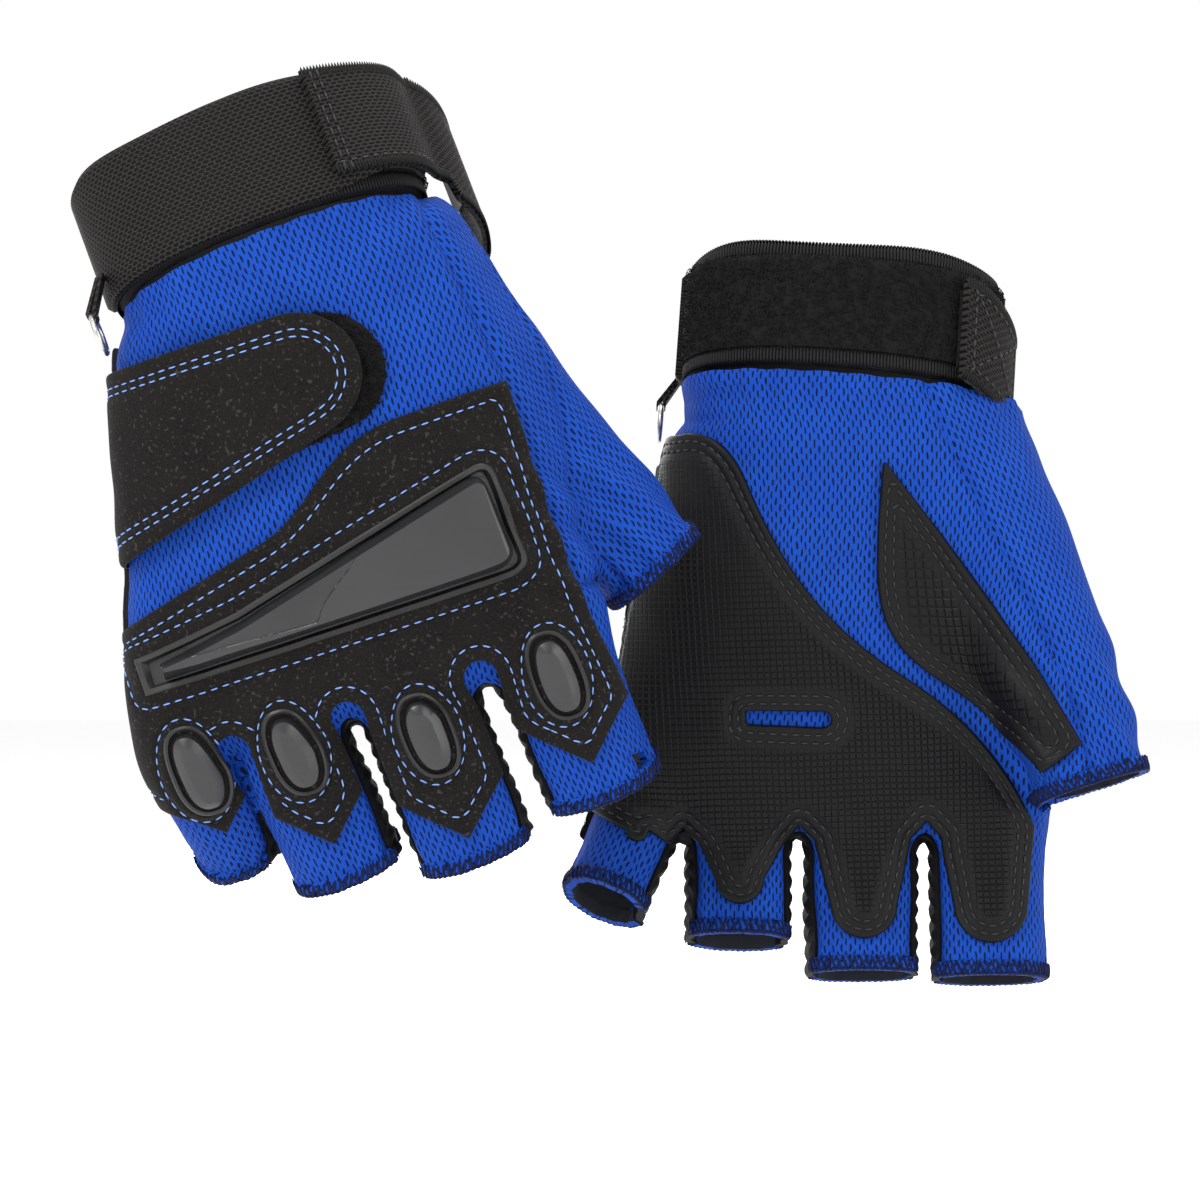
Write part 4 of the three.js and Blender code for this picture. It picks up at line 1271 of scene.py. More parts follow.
for side in SIDES:
    form = FORMS[side]
    turn = np.linspace(0, 2 * math.pi, PAD_SIDES + 1)[:-1]
    round_x, round_down = (np.sign(f(turn)) * np.abs(f(turn)) ** 0.78 for f in (np.cos, np.sin))
    shares = np.array([share for share, _, _ in PAD_PROFILE])[:, None]
    u = (WELL_HALF[0] * shares * round_x).ravel()
    v = ((WELL_HALF[1] - WELL_HALF[0] * (1 - shares)) * round_down).ravel()
    heights = np.repeat([height for _, height, _ in PAD_PROFILE], PAD_SIDES)
    k = np.arange(PAD_SIDES)
    after = (k + 1) % PAD_SIDES
    halves = np.concatenate(
        [np.stack([k, after, after + PAD_SIDES], -1), np.stack([k, after + PAD_SIDES, k + PAD_SIDES], -1)]
    )
    steps = [halves + ring * PAD_SIDES for ring in range(len(PAD_PROFILE))]
    underside = np.stack([np.zeros(PAD_SIDES - 2, int), k[2:], k[1:-1]], -1)
    faces = np.concatenate([*steps, underside])
    bar = [int(is_bar) for _, _, is_bar in PAD_PROFILE]
    index = np.concatenate([np.repeat(bar, len(halves)), np.zeros(len(underside), int)])
    for name in ACROSS_HAND:
        down = FINGERS[name]["pad_down"]
        above, below = (float(form.digit_x(name, down + d)) for d in (-8, 8))
        middle, lean = (above + below) / 2, (below - above) / 16
        at = form.onto(middle + u + lean * v, down + v)
        _, away = form.slopes(at)
        at, away = at + away * form.folds(at)[:, None], away
        raised = at + away * heights[:, None]
        foot = raised[:PAD_SIDES] - 0.9 * away[:PAD_SIDES]
        pad = made_piece(
            f"finger_pad_{name}",
            side,
            np.concatenate([foot, raised]),
            faces,
            [GUARD_RUBBER, GUARD_PLASTIC],
            index,
            crease=28,
        )
        fitted(pad, "root", "guard_plastic", f"{side}_finger_pad_{name}")


# ---------------------------------------------------------------- palm and thumb leather
# Black synthetic leather, embossed with small squares that fade into a smooth border, sewn down
# with two rows of black thread. A narrow slit near the palm's outer edge shows the mesh beneath.

LEATHER = 1.35


def palm_outline(form):
    heel = float(palm_x(form.side, 10)) - 37
    outline = [(heel - 22, 10), (heel + 6, 7)]
    outline += bend(outline[-1], (heel + 14, 5.5), (heel + 18, 16))
    outline += bend(outline[-1], (heel + 24, 31), (heel + 30, 44), (heel + 50, 57))
    outline += bend(outline[-1], (heel + 68, 70), (float(form.digit_x("index", 86)) + 8.5, 86))
    for name in reversed(ACROSS_HAND):
        half = FINGERS[name]["tab"] - 3.4
        centre = tab_tip(form.side, name, 12 if name == "pinky" else 8) - half
        middle = float(form.digit_x(name, centre))
        outline += arc(middle, centre, half, 0, math.pi)
        if name != "pinky":
            following = ACROSS_HAND[ACROSS_HAND.index(name) - 1]
            notch = float(form.between_x(following, name, PALM_LENGTH))
            outline += [(notch + x, PALM_LENGTH + d) for x, d in ((3.4, 2.5), (0, -1), (-3.4, 2.5))]
    return outline + [(heel - 22, 76)]


def leaf_outline(form):
    reach = form.thumb_reach()
    end, start = 38 + reach, (6 + reach * 0.2, 13)
    outline = [start, *bend(start, (end - 9, 43), (end + 4.5, 69.5)), (end - 2.5, 75)]
    outline += bend(outline[-1], (end - 8, 66), (end - 20, 58))
    return outline + bend(outline[-1], (end - 36, 48), (end - 35, 40), start)[:-1]


def grip_leather(name, pitch, groove):
    """Black leather with embossed squares, fading out where its border is near. The grooves between the
    squares are bumped in and also painted near black, as painted shade.
    """
    made, tree, shader = principled(name, (0.003, 0.003, 0.0033), 0.48, Specular_IOR_Level=0.16)
    cloth = node(tree, "ShaderNodeUVMap", uv_map="cloth").outputs[0]
    border = node(tree, "ShaderNodeAttribute", attribute_name="border").outputs["Fac"]
    split = node(tree, "ShaderNodeSeparateXYZ", {0: cloth})
    high = None
    for axis in (0, 1):
        off = sum_node(
            tree,
            "SUBTRACT",
            sum_node(tree, "FRACT", sum_node(tree, "DIVIDE", split.outputs[axis], pitch)),
            0.5,
        )
        flat = ramp(tree, sum_node(tree, "ABSOLUTE", off), 0.5 - groove, 0.5, 1.0, 0.0)
        high = flat if high is None else sum_node(tree, "MULTIPLY", high, flat)
    groove_and_painted_shade = sum_node(tree, "MULTIPLY", sum_node(tree, "SUBTRACT", 1.0, high), ramp(tree, border, 3.6, 5.2))
    grain = noise(tree, cloth, 5.0, 3.0)
    tone = mixed(tree, grain, (0.0022, 0.0022, 0.0025), (0.005, 0.005, 0.0056))
    # Painted shade: the grooves between the embossed squares are painted near black, standing for shade in
    # the recesses.
    tree.links.new(mixed(tree, groove_and_painted_shade, tone, (0.0004, 0.0004, 0.0005)), shader.inputs["Base Color"])
    height = sum_node(tree, "SUBTRACT", sum_node(tree, "MULTIPLY", grain, 0.25), groove_and_painted_shade)
    bumped(tree, shader, height, 0.75, 0.0003)
    return made


PALM_LEATHER = grip_leather("palm_leather", 1.25, 0.16)
THUMB_LEATHER = grip_leather("thumb_leather", 1.9, 0.17)
BLACK_THREAD = plain_cloth("black_thread", (0.0035, 0.0035, 0.004), 0.5, 3000.0)
LEATHER_ROWS = (1.5, 3.1)


def leather(side, name, node_name, outline, hole, material, seam_side):
    """A leather patch on the palm side, with its border's rows of thread."""
    form = FORMS[side]
    points, faces = NETS[side]
    points, faces = cut(points, faces, inside(outline, points) + 2)
    points, faces = cut(points, faces, points[:, 1] - seam_side(form, points) + 1.5)
    points, faces = refined(form, points, faces)
    points, faces = cut(points, faces, points[:, 1] - seam_side(form, points))
    points, faces = cut(points, faces, inside(outline, points))
    points, faces = cut(points, faces, -form.between_fingers(points) - 0.2)
    if hole:
        points, faces = cut(points, faces, -inside(hole, points))
    points, faces = biggest_part(points, faces)

    def border(spots):
        """How far each spot lies in from the patch's nearest edge."""
        reach = np.minimum(inside(outline, spots), (spots[:, 1] - seam_side(form, spots)) * 1.5 + 0.2)
        return np.minimum(reach, -inside(hole, spots)) if hole else reach

    points, faces = refined(form, points, faces, near=lambda spots: border(spots) < 4)
    _, normals = form.slopes(points)
    edge = border(points)
    top = form.folds(points) + OVER_SKIN + LEATHER - rounded(edge, 0.7, 0.6)
    for row in LEATHER_ROWS:
        top -= 0.22 * np.exp(-(((edge - row) / 0.5) ** 2))
    top += 0.3 * smooth_step(edge, 3.4, 5.2)
    slanted = points[:, 0] * 0.62 + points[:, 2] * 0.5
    top += 0.35 * smooth_step(edge, 3, 9) * np.sin(slanted * 0.42 + 1.6 * np.sin(points[:, 2] * 0.07))
    cloth = np.tile(flattened(points, faces, np.tile((0.0, 0.0, -1.0), (len(points), 1))), (2, 1))
    solid, every, _ = thickened(points, normals, faces, top, form.folds(points) + OVER_SKIN - 0.1)
    patch = made_piece(name, side, solid, every, [material], cloth=cloth, border=np.tile(edge, 2))
    fitted(patch, "root", "grip_leather", f"{side}_{node_name}")
    lines = []
    for row in LEATHER_ROWS:
        lines += level_lines(points, faces, edge - row)
    rows = rows_at(form, lines, OVER_SKIN + LEATHER - 0.1)
    thread_rows(f"{name}_stitches", side, rows, "root", "hem_thread", BLACK_THREAD, 2.2, 1.75, 0.42)


SLIT = [(-22, 61.5), (-7, 62), *arc(-7, 63.6, 1.6, -math.pi / 2, math.pi / 2), (-22, 64.2)]

for side in SIDES:
    form = FORMS[side]
    leather(
        side,
        "palm_leather",
        "palm_pad",
        palm_outline(form),
        SLIT,
        PALM_LEATHER,
        lambda f,
        p: f.side_line(p) + 1,
    )
    leather(
        side,
        "thumb_leather",
        "thumb_patch",
        leaf_outline(form),
        None,
        THUMB_LEATHER,
        lambda f,
        p: 2 + 0 * p[:, 1],
    )


# ---------------------------------------------------------------- closure flap
# A suede tab, sewn into the little-finger edge, folds over the back of the hand. Hook tape under
# it closes on a patch of black loop pile, which shows a little beyond the flap's rounded end.

LOOP_TOP = 1.2
HOOK_TOP = 2.5
FLAP_END = 11
FOLD_LIFT = 2.45


def pile_tree():
    """Loops of thread standing all over a surface, each turned and tilted its own way."""
    tree = bpy.data.node_groups.new("loop_pile", "GeometryNodeTree")
    sockets = {}
    tree.interface.new_socket("Geometry", in_out="INPUT", socket_type="NodeSocketGeometry")
    for name in ("Density", "Height", "Thickness"):
        made = tree.interface.new_socket(name, in_out="INPUT", socket_type="NodeSocketFloat")
        sockets[name] = made.identifier
    made = tree.interface.new_socket("Material", in_out="INPUT", socket_type="NodeSocketMaterial")
    sockets["Material"] = made.identifier
    tree.interface.new_socket("Geometry", in_out="OUTPUT", socket_type="NodeSocketGeometry")
    given = tree.nodes.new("NodeGroupInput").outputs
    strewn = node(
        tree,
        "GeometryNodeDistributePointsOnFaces",
        {"Mesh": given["Geometry"], "Density": given["Density"], "Seed": 7},
    )
    standing = node(tree, "FunctionNodeAlignRotationToVector", {"Vector": strewn.outputs["Normal"]}, axis="Z")
    spin = node(tree, "FunctionNodeRandomValue", {2: -3.1, 3: 3.1, "Seed": 3}, data_type="FLOAT").outputs[1]
    tilt = node(tree, "FunctionNodeRandomValue", {2: -0.7, 3: 0.7, "Seed": 4}, data_type="FLOAT").outputs[1]
    about = node(tree, "ShaderNodeCombineXYZ", {0: tilt, 2: spin}).outputs[0]
    by = node(tree, "FunctionNodeEulerToRotation", {0: about}).outputs[0]
    turned = node(
        tree, "FunctionNodeRotateRotation", {
            "Rotation": standing.outputs[0], "Rotate By": by
        }, rotation_space="LOCAL"
    )
    ring = node(tree, "GeometryNodeCurvePrimitiveCircle", {"Resolution": 6, "Radius": 0.5})
    wire = node(tree, "GeometryNodeCurvePrimitiveCircle", {"Resolution": 3, "Radius": 0.5})
    thin = node(
        tree, "ShaderNodeMath", {0: given["Thickness"], 1: given["Height"]}, operation="DIVIDE"
    ).outputs[0]
    fine = node(tree, "GeometryNodeTransform", {"Geometry": wire.outputs[0]})
    both = node(tree, "ShaderNodeCombineXYZ", {0: thin, 1: thin, 2: thin}).outputs[0]
    tree.links.new(both, fine.inputs["Scale"])
    loop = node(tree, "GeometryNodeCurveToMesh", {"Curve": ring.outputs[0], "Profile Curve": fine.outputs[0]})
    upright = node(
        tree, "GeometryNodeTransform", {"Geometry": loop.outputs[0], "Rotation": (math.pi / 2, 0, 0)}
    )
    size = node(tree, "FunctionNodeRandomValue", {2: 0.7, 3: 1.25, "Seed": 5}, data_type="FLOAT").outputs[1]
    scale = sum_node(tree, "MULTIPLY", size, given["Height"])
    laid = node(
        tree,
        "GeometryNodeInstanceOnPoints",
        {
            "Points": strewn.outputs[0],
            "Instance": upright.outputs[0],
            "Rotation": turned.outputs[0],
            "Scale": scale,
        },
    )
    real = node(tree, "GeometryNodeRealizeInstances", {"Geometry": laid.outputs[0]})
    shaded = node(tree, "GeometryNodeSetShadeSmooth", {"Geometry": real.outputs[0]})
    painted = node(
        tree, "GeometryNodeSetMaterial", {"Geometry": shaded.outputs[0], "Material": given["Material"]}
    )
    node(tree, "NodeGroupOutput", {0: painted.outputs[0]})
    return tree, sockets


LOOP_PILE, PILE_SOCKETS = pile_tree()


def pile(name, side, points, faces, body, slot, material, density, height, thickness):
    """Loop pile on a surface given in millimetres, so many loops to the square millimetre."""
    mesh = bpy.data.meshes.new(name)
    order = faces if side == "right" else faces[:, ::-1]
    mesh.from_pydata(placed(side, points).tolist(), [], order.tolist())
    piece = bpy.data.objects.new(f"{name}_{side}", mesh)
    scene.collection.objects.link(piece)
    growing = piece.modifiers.new("growing", "NODES")
    growing.node_group = LOOP_PILE
    for socket, value in dict(Density=density / MM**2, Height=height * MM, Thickness=thickness * MM).items():
        growing[PILE_SOCKETS[socket]] = value
    growing[PILE_SOCKETS["Material"]] = material
    worked = bpy.data.meshes.new_from_object(piece.evaluated_get(bpy.context.evaluated_depsgraph_get()))
    piece.modifiers.clear()
    piece.data = worked
    fitted(piece, body, slot)


def tab_of_cloth(form, outline, beyond=0.8):
    """The part of the back inside an outline, as far round the edge as the side seam."""
    points, faces = NETS[form.side]
    points, faces = cut(points, faces, inside(outline, points) + 2)
    points, faces = cut(points, faces, form.side_line(points) + beyond + 1.5 - points[:, 1])
    points, faces = refined(form, points, faces)
    points, faces = cut(points, faces, form.side_line(points) + beyond - points[:, 1])
    points, faces = biggest_part(*cut(points, faces, inside(outline, points)))
    points, faces = refined(form, points, faces, near=lambda spots: inside(outline, spots) < 5.5)
    return points, faces, form.slopes(points)[1]


PILE_BLACK = plain_cloth("loop_pile", (0.0045, 0.0043, 0.0043), 0.9, 2500.0, Specular_IOR_Level=0.15)
HOOK_BLACK = plain_cloth("hook_tape", (0.003, 0.003, 0.0034), 0.45, 1800.0, 0.6, Specular_IOR_Level=0.25)
FLAP_ROWS = (2.9, 4.3)

for side in SIDES:
    form = FORMS[side]
    patch_x = float(palm_x(side, 24))
    under_outline = [(patch_x - 14, 14), (patch_x + 5, 13)]
    under_outline += arc(patch_x + 5, 24, FLAP_END, -math.pi / 2, math.pi / 2) + [(patch_x - 14, 38)]
    points, faces, normals = tab_of_cloth(form, under_outline)
    edge = inside(under_outline, points)
    top = form.folds(points) + LOOP_TOP - 0.4 - rounded(edge, 0.8, 0.5)
    solid, every, _ = thickened(points, normals, faces, top, form.folds(points))
    fitted(
        made_piece("loop_patch", side, solid, every, [PILE_BLACK]),
        "root",
        "loop_pile",
        f"{side}_flap_loop",
    )
    pile(
        "loop_patch_pile",
        side,
        points + normals * top[:, None],
        faces,
        "root",
        "loop_pile",
        PILE_BLACK,
        2.6,
        1.1,
        0.15,
    )

    hook_outline = [(patch_x - 12, 15), (patch_x + 1, 14)]
    hook_outline += arc(patch_x + 1, 23, FLAP_END - 2, -math.pi / 2, math.pi / 2) + [(patch_x - 12, 35)]
    points, faces, normals = tab_of_cloth(form, hook_outline)
    middle = form.folds(points)
    solid, every, _ = thickened(points, normals, faces, middle + HOOK_TOP + 0.2, middle + HOOK_TOP - 0.7)
    hook = made_piece("flap_hook_tape", side, solid, every, [HOOK_BLACK])
    fitted(hook, f"{side}_flap", "hook_tape", f"{side}_flap_hook")

    outline = [(-60, 13), (patch_x, 11.4)]
    outline += arc(patch_x, 23, FLAP_END + 0.6, -math.pi / 2, math.pi * 0.42) + [(-38, 46.5), (-60, 52)]
    points, faces, normals = tab_of_cloth(form, outline)
    edge = inside(outline, points)
    risen = FOLD_LIFT * smooth_step(form.side_line(points) - points[:, 1], 0.5, 10)
    wave = 0.25 * np.sin(points[:, 0] * 0.22 + points[:, 2] * 0.1)
    lift = form.folds(points) * (1 - 0.6 * risen / FOLD_LIFT) + OVER_SKIN + risen + wave * risen / FOLD_LIFT
    top = lift + SUEDE - rounded(edge, 1.0, 0.8) + 0.35 * smooth_step(edge, 1.5, 7)
    for row in FLAP_ROWS:
        top -= stitch_groove(edge, row) * 0.8
    solid, every, _ = thickened(points, normals, faces, top, lift)
    fold = placed(side, np.array([(-42.5, 3.0, -30), (-38.5, -7.0, -30)]))
    at_fold = ("root", f"{side}_flap", tuple(fold[0]), tuple(fold[1]))
    flap = made_piece("closure_flap", side, solid, every, [SUEDE_BLACK])
    fitted(flap, at_fold, "suede", f"{side}_closure_flap")
    rows = []
    for row in FLAP_ROWS:
        for line in level_lines(points, faces, edge - row):
            line = spaced(line, 0.7)
            _, up = form.slopes(line)
            high = FOLD_LIFT * smooth_step(form.side_line(line) - line[:, 1], 0.5, 10)
            ripple = 0.25 * np.sin(line[:, 0] * 0.22 + line[:, 2] * 0.1) * high / FOLD_LIFT
            base = form.folds(line) * (1 - 0.6 * high / FOLD_LIFT) + OVER_SKIN + high + ripple
            rise = base + SUEDE - 0.1 + 0.35 * smooth_step(np.full(len(line), row), 1.5, 7)
            rows.append((line + up * rise[:, None], up))
    thread_rows("flap_stitches", side, rows, at_fold, "hem_thread", PALE_THREAD, **STITCH)


# ---------------------------------------------------------------- cuff
# A band of black stretch cloth, bound top and bottom in ribbed tape. Its palm half is faced with
# black loop pile, which the wrist strap's free end closes on.

CUFF_FOOT, CUFF_HEAD = 1.2, 26.2
CUFF_HALF_WIDTH, CUFF_HALF_DEPTH = 29.6, 20.4
PERIMETER_STEPS = 720


def cuff_axes(form):
    lean, flex = math.radians(form.pose["wrist_lean"]), math.radians(form.pose["wrist_flex"])
    across = (math.cos(lean), 0, math.sin(lean))
    palmward = (math.sin(lean) * math.sin(flex), math.cos(flex), -math.cos(lean) * math.sin(flex))
    up = (-math.sin(lean) * math.cos(flex), math.sin(flex), math.cos(lean) * math.cos(flex))
    return np.array((across, palmward, up))


def round_cuff(turn, grow):
    """Across and palmward of points round the cuff, at an angle from its thumb edge over its back."""
    share = 2 / Limb.SQUARENESS
    u = (CUFF_HALF_WIDTH + grow) * np.sign(np.cos(turn)) * np.abs(np.cos(turn)) ** share
    v = -(CUFF_HALF_DEPTH + grow) * np.sign(np.sin(turn)) * np.abs(np.sin(turn)) ** share
    return np.stack([u, v], -1)


def cuff_turns(start, end, gap=0.9):
    """Angles evenly spaced along the cuff's wall, from start to end."""
    fine = np.linspace(start, end, PERIMETER_STEPS)
    path = round_cuff(fine, 0)
    length = np.concatenate([[0], np.cumsum(np.linalg.norm(np.diff(path, axis=0), axis=1))])
    marks = np.linspace(0, length[-1], int(length[-1] / gap) + 2)
    return np.interp(marks, length, fine), marks


def in_glove(form, across_palmward, height):
    """From the cuff's own axes to the glove's frame."""
    spots = np.concatenate([across_palmward, np.asarray(height, float)[..., None]], -1)
    return spots @ cuff_axes(form) + (float(palm_x(form.side, 0)), 0, 0)


def cuff_top(turn):
    """The cloth at the cuff's two edges stands a little lower than between them."""
    return -1.6 * np.abs(np.cos(turn)) ** 6 + 0.35 * np.sin(5 * turn + 1)


def wall(form, turns, marks, low, high, lift, thickness, rows=22, bend_to=None):
    """A strip standing round the cuff: its points, faces and cloth coordinates."""
    share = np.linspace(0, 1, rows)
    low, high = np.broadcast_to(low, len(turns)), np.broadcast_to(high, len(turns))
    heights = low[:, None] + (high - low)[:, None] * share
    rim = np.minimum(np.minimum(share * (high - low).mean(), (1 - share) * (high - low).mean()) / 0.8, 1)
    soft = 1 - np.sqrt(1 - (1 - rim) ** 2)
    outer = np.broadcast_to(lift, len(turns))[:, None] + thickness * (1 - 0.6 * soft)
    inner = np.broadcast_to(lift, len(turns))[:, None] + 0 * outer
    layers = []
    for grow in (outer, inner):
        flat = np.stack([round_cuff(turns, g) for g in grow.T], 1)
        z = heights + 0
        if bend_to is not None:
            flat, z = bend_to(flat, z, marks)
        layers.append(in_glove(form, flat, z).reshape(-1, 3))
    n = rows * len(turns)
    i, k = np.meshgrid(np.arange(len(turns) - 1), np.arange(rows - 1), indexing="ij")
    a = (i * rows + k).ravel()
    faces = np.concatenate(
        [np.stack([a, a + rows, a + rows + 1], -1), np.stack([a, a + rows + 1, a + 1], -1)]
    )
    solid, every, _ = thickened(layers[0], np.zeros((n, 3)), faces, 0, 0)
    solid[n:] = layers[1]
    cloth = np.stack([np.repeat(marks, rows), heights.ravel()], -1)
    return solid, every, np.tile(cloth, (2, 1)), layers[0], faces


def ribs(name, side, turns, height, lift, size, material, body="root", bend_to=None, marks=None, over=False):
    """Short upright ribs, close together, along the cuff's edge."""
    form = FORMS[side]
    flat = round_cuff(turns, lift)
    z = np.broadcast_to(height, len(turns)).astype(float)
    inner = round_cuff(turns, lift - 1)
    if bend_to is not None:
        flat, z2 = (x[:, 0] for x in bend_to(flat[:, None], z[:, None], marks))
        inner, _ = (x[:, 0] for x in bend_to(inner[:, None], z[:, None], marks))
        z = z2
    line = in_glove(form, flat, z)
    up = np.tile(cuff_axes(form)[2], (len(line), 1)) if over else line - in_glove(form, inner, z)
    pitch, length, thickness = size
    thread_rows(name, side, [(line, up)], body, "stretch_knit", material, pitch, length, thickness, 90)


RIB_BLACK = plain_cloth("ribbed_binding", (0.0028, 0.0028, 0.0031), 0.6, 2500.0, Specular_IOR_Level=0.2)

for side in SIDES:
    form = FORMS[side]
    turns, marks = cuff_turns(0, 2 * math.pi)
    arch = cuff_top(turns)
    solid, every, cloth, _, _ = wall(form, turns, marks, CUFF_FOOT, CUFF_HEAD + arch, -1.3, 2.5, bend_to=None)
    band = made_piece("cuff_band", side, solid, every, [STRETCH_KNIT], cloth=cloth)
    fitted(band, "root", "stretch_knit", f"{side}_cuff_band")
    size = (0.66, 3.6, 0.7)
    for edge, height in (("lower", CUFF_FOOT + 1.6), ("upper", CUFF_HEAD - 2.1 + arch)):
        ribs(f"cuff_{edge}_binding", side, turns, height, 1.35, size, RIB_BLACK)
    ribs("cuff_rim", side, turns, CUFF_HEAD - 0.15 + arch, 0.0, (0.66, 2.9, 0.7), RIB_BLACK, over=True)

    turns, marks = cuff_turns(math.pi * 1.035, math.pi * 1.965)
    solid, every, cloth, face, faces = wall(form, turns, marks, CUFF_FOOT + 3.2, CUFF_HEAD - 3.2, 1.3, 1.0)
    facing = made_piece("loop_facing", side, solid, every, [PILE_BLACK], cloth=cloth)
    fitted(facing, "root", "loop_pile", f"{side}_loop_facing")
    pile("loop_facing_pile", side, face, faces, "root", "loop_pile", PILE_BLACK, 1.5, 1.3, 0.17)

# ---------------------------------------------------------------- wrist strap
# Black webbing, woven in an open honeycomb, goes round the back of the cuff. A second length is
# sewn on near the thumb edge. Its free end turns that edge and closes on the loop pile with hook
# tape: on the right glove it stands open, and on the left it is pressed down, boxed with stitching.


def webbing():
    """Woven webbing: rows of staggered dark cells between worn, brownish-grey threads."""
    made, tree, shader = principled("webbing", (0.012, 0.011, 0.01), 0.65, Specular_IOR_Level=0.12)
    cloth = node(tree, "ShaderNodeUVMap", uv_map="cloth").outputs[0]
    wander = node(tree, "ShaderNodeTexNoise", {"Vector": cloth, "Scale": 0.6}).outputs["Color"]
    drift = node(
        tree, "ShaderNodeVectorMath", {0: wander, 1: (0.35, 0.35, 0)}, operation="MULTIPLY"
    ).outputs[0]
    moved = node(tree, "ShaderNodeVectorMath", {0: cloth, 1: drift}, operation="ADD").outputs[0]
    split = node(tree, "ShaderNodeSeparateXYZ", {0: moved})
    row = sum_node(tree, "DIVIDE", split.outputs[1], 0.72)
    odd = sum_node(tree, "FLOORED_MODULO", sum_node(tree, "FLOOR", row), 2.0)
    column = sum_node(
        tree, "ADD", sum_node(tree, "DIVIDE", split.outputs[0], 1.3), sum_node(tree, "MULTIPLY", odd, 0.5)
    )
    u = sum_node(tree, "MULTIPLY", sum_node(tree, "SUBTRACT", sum_node(tree, "FRACT", column), 0.5), 2.0)
    v = sum_node(tree, "MULTIPLY", sum_node(tree, "SUBTRACT", sum_node(tree, "FRACT", row), 0.5), 2.0)
    size = sum_node(tree, "ADD", sum_node(tree, "POWER", u, 2.0), sum_node(tree, "POWER", v, 2.0))
    thread = ramp(tree, size, 0.25, 1.0)
    tone = mixed(tree, noise(tree, cloth, 2.0, 3.0), (0.013, 0.0115, 0.0105), (0.034, 0.0305, 0.028))
    tree.links.new(mixed(tree, thread, (0.0006, 0.0006, 0.0006), tone), shader.inputs["Base Color"])
    bumped(tree, shader, thread, 0.8, 0.0004)
    return made


WEBBING = webbing()
STRAP_LIFT, STRAP_THICK = 1.6, 1.5
END_LIFT = 3.3
LOW_EDGE_RISE = 3.2  # the right strap rises clear of the lower binding near the thumb edge
SEAM_TURN = math.radians(62)
TAB_LENGTH = 21
TAB_PEEL = {"right": 34, "left": 0}
HINGE_OUT = 35.5
RIGHT_DROOP, DROOP_POWER = 0.32, 1.15  # how far the open end sags along its length
EDGE_SAG, TIP_RISE = 8.5, 8.0  # the closed end slants down to the thumb edge

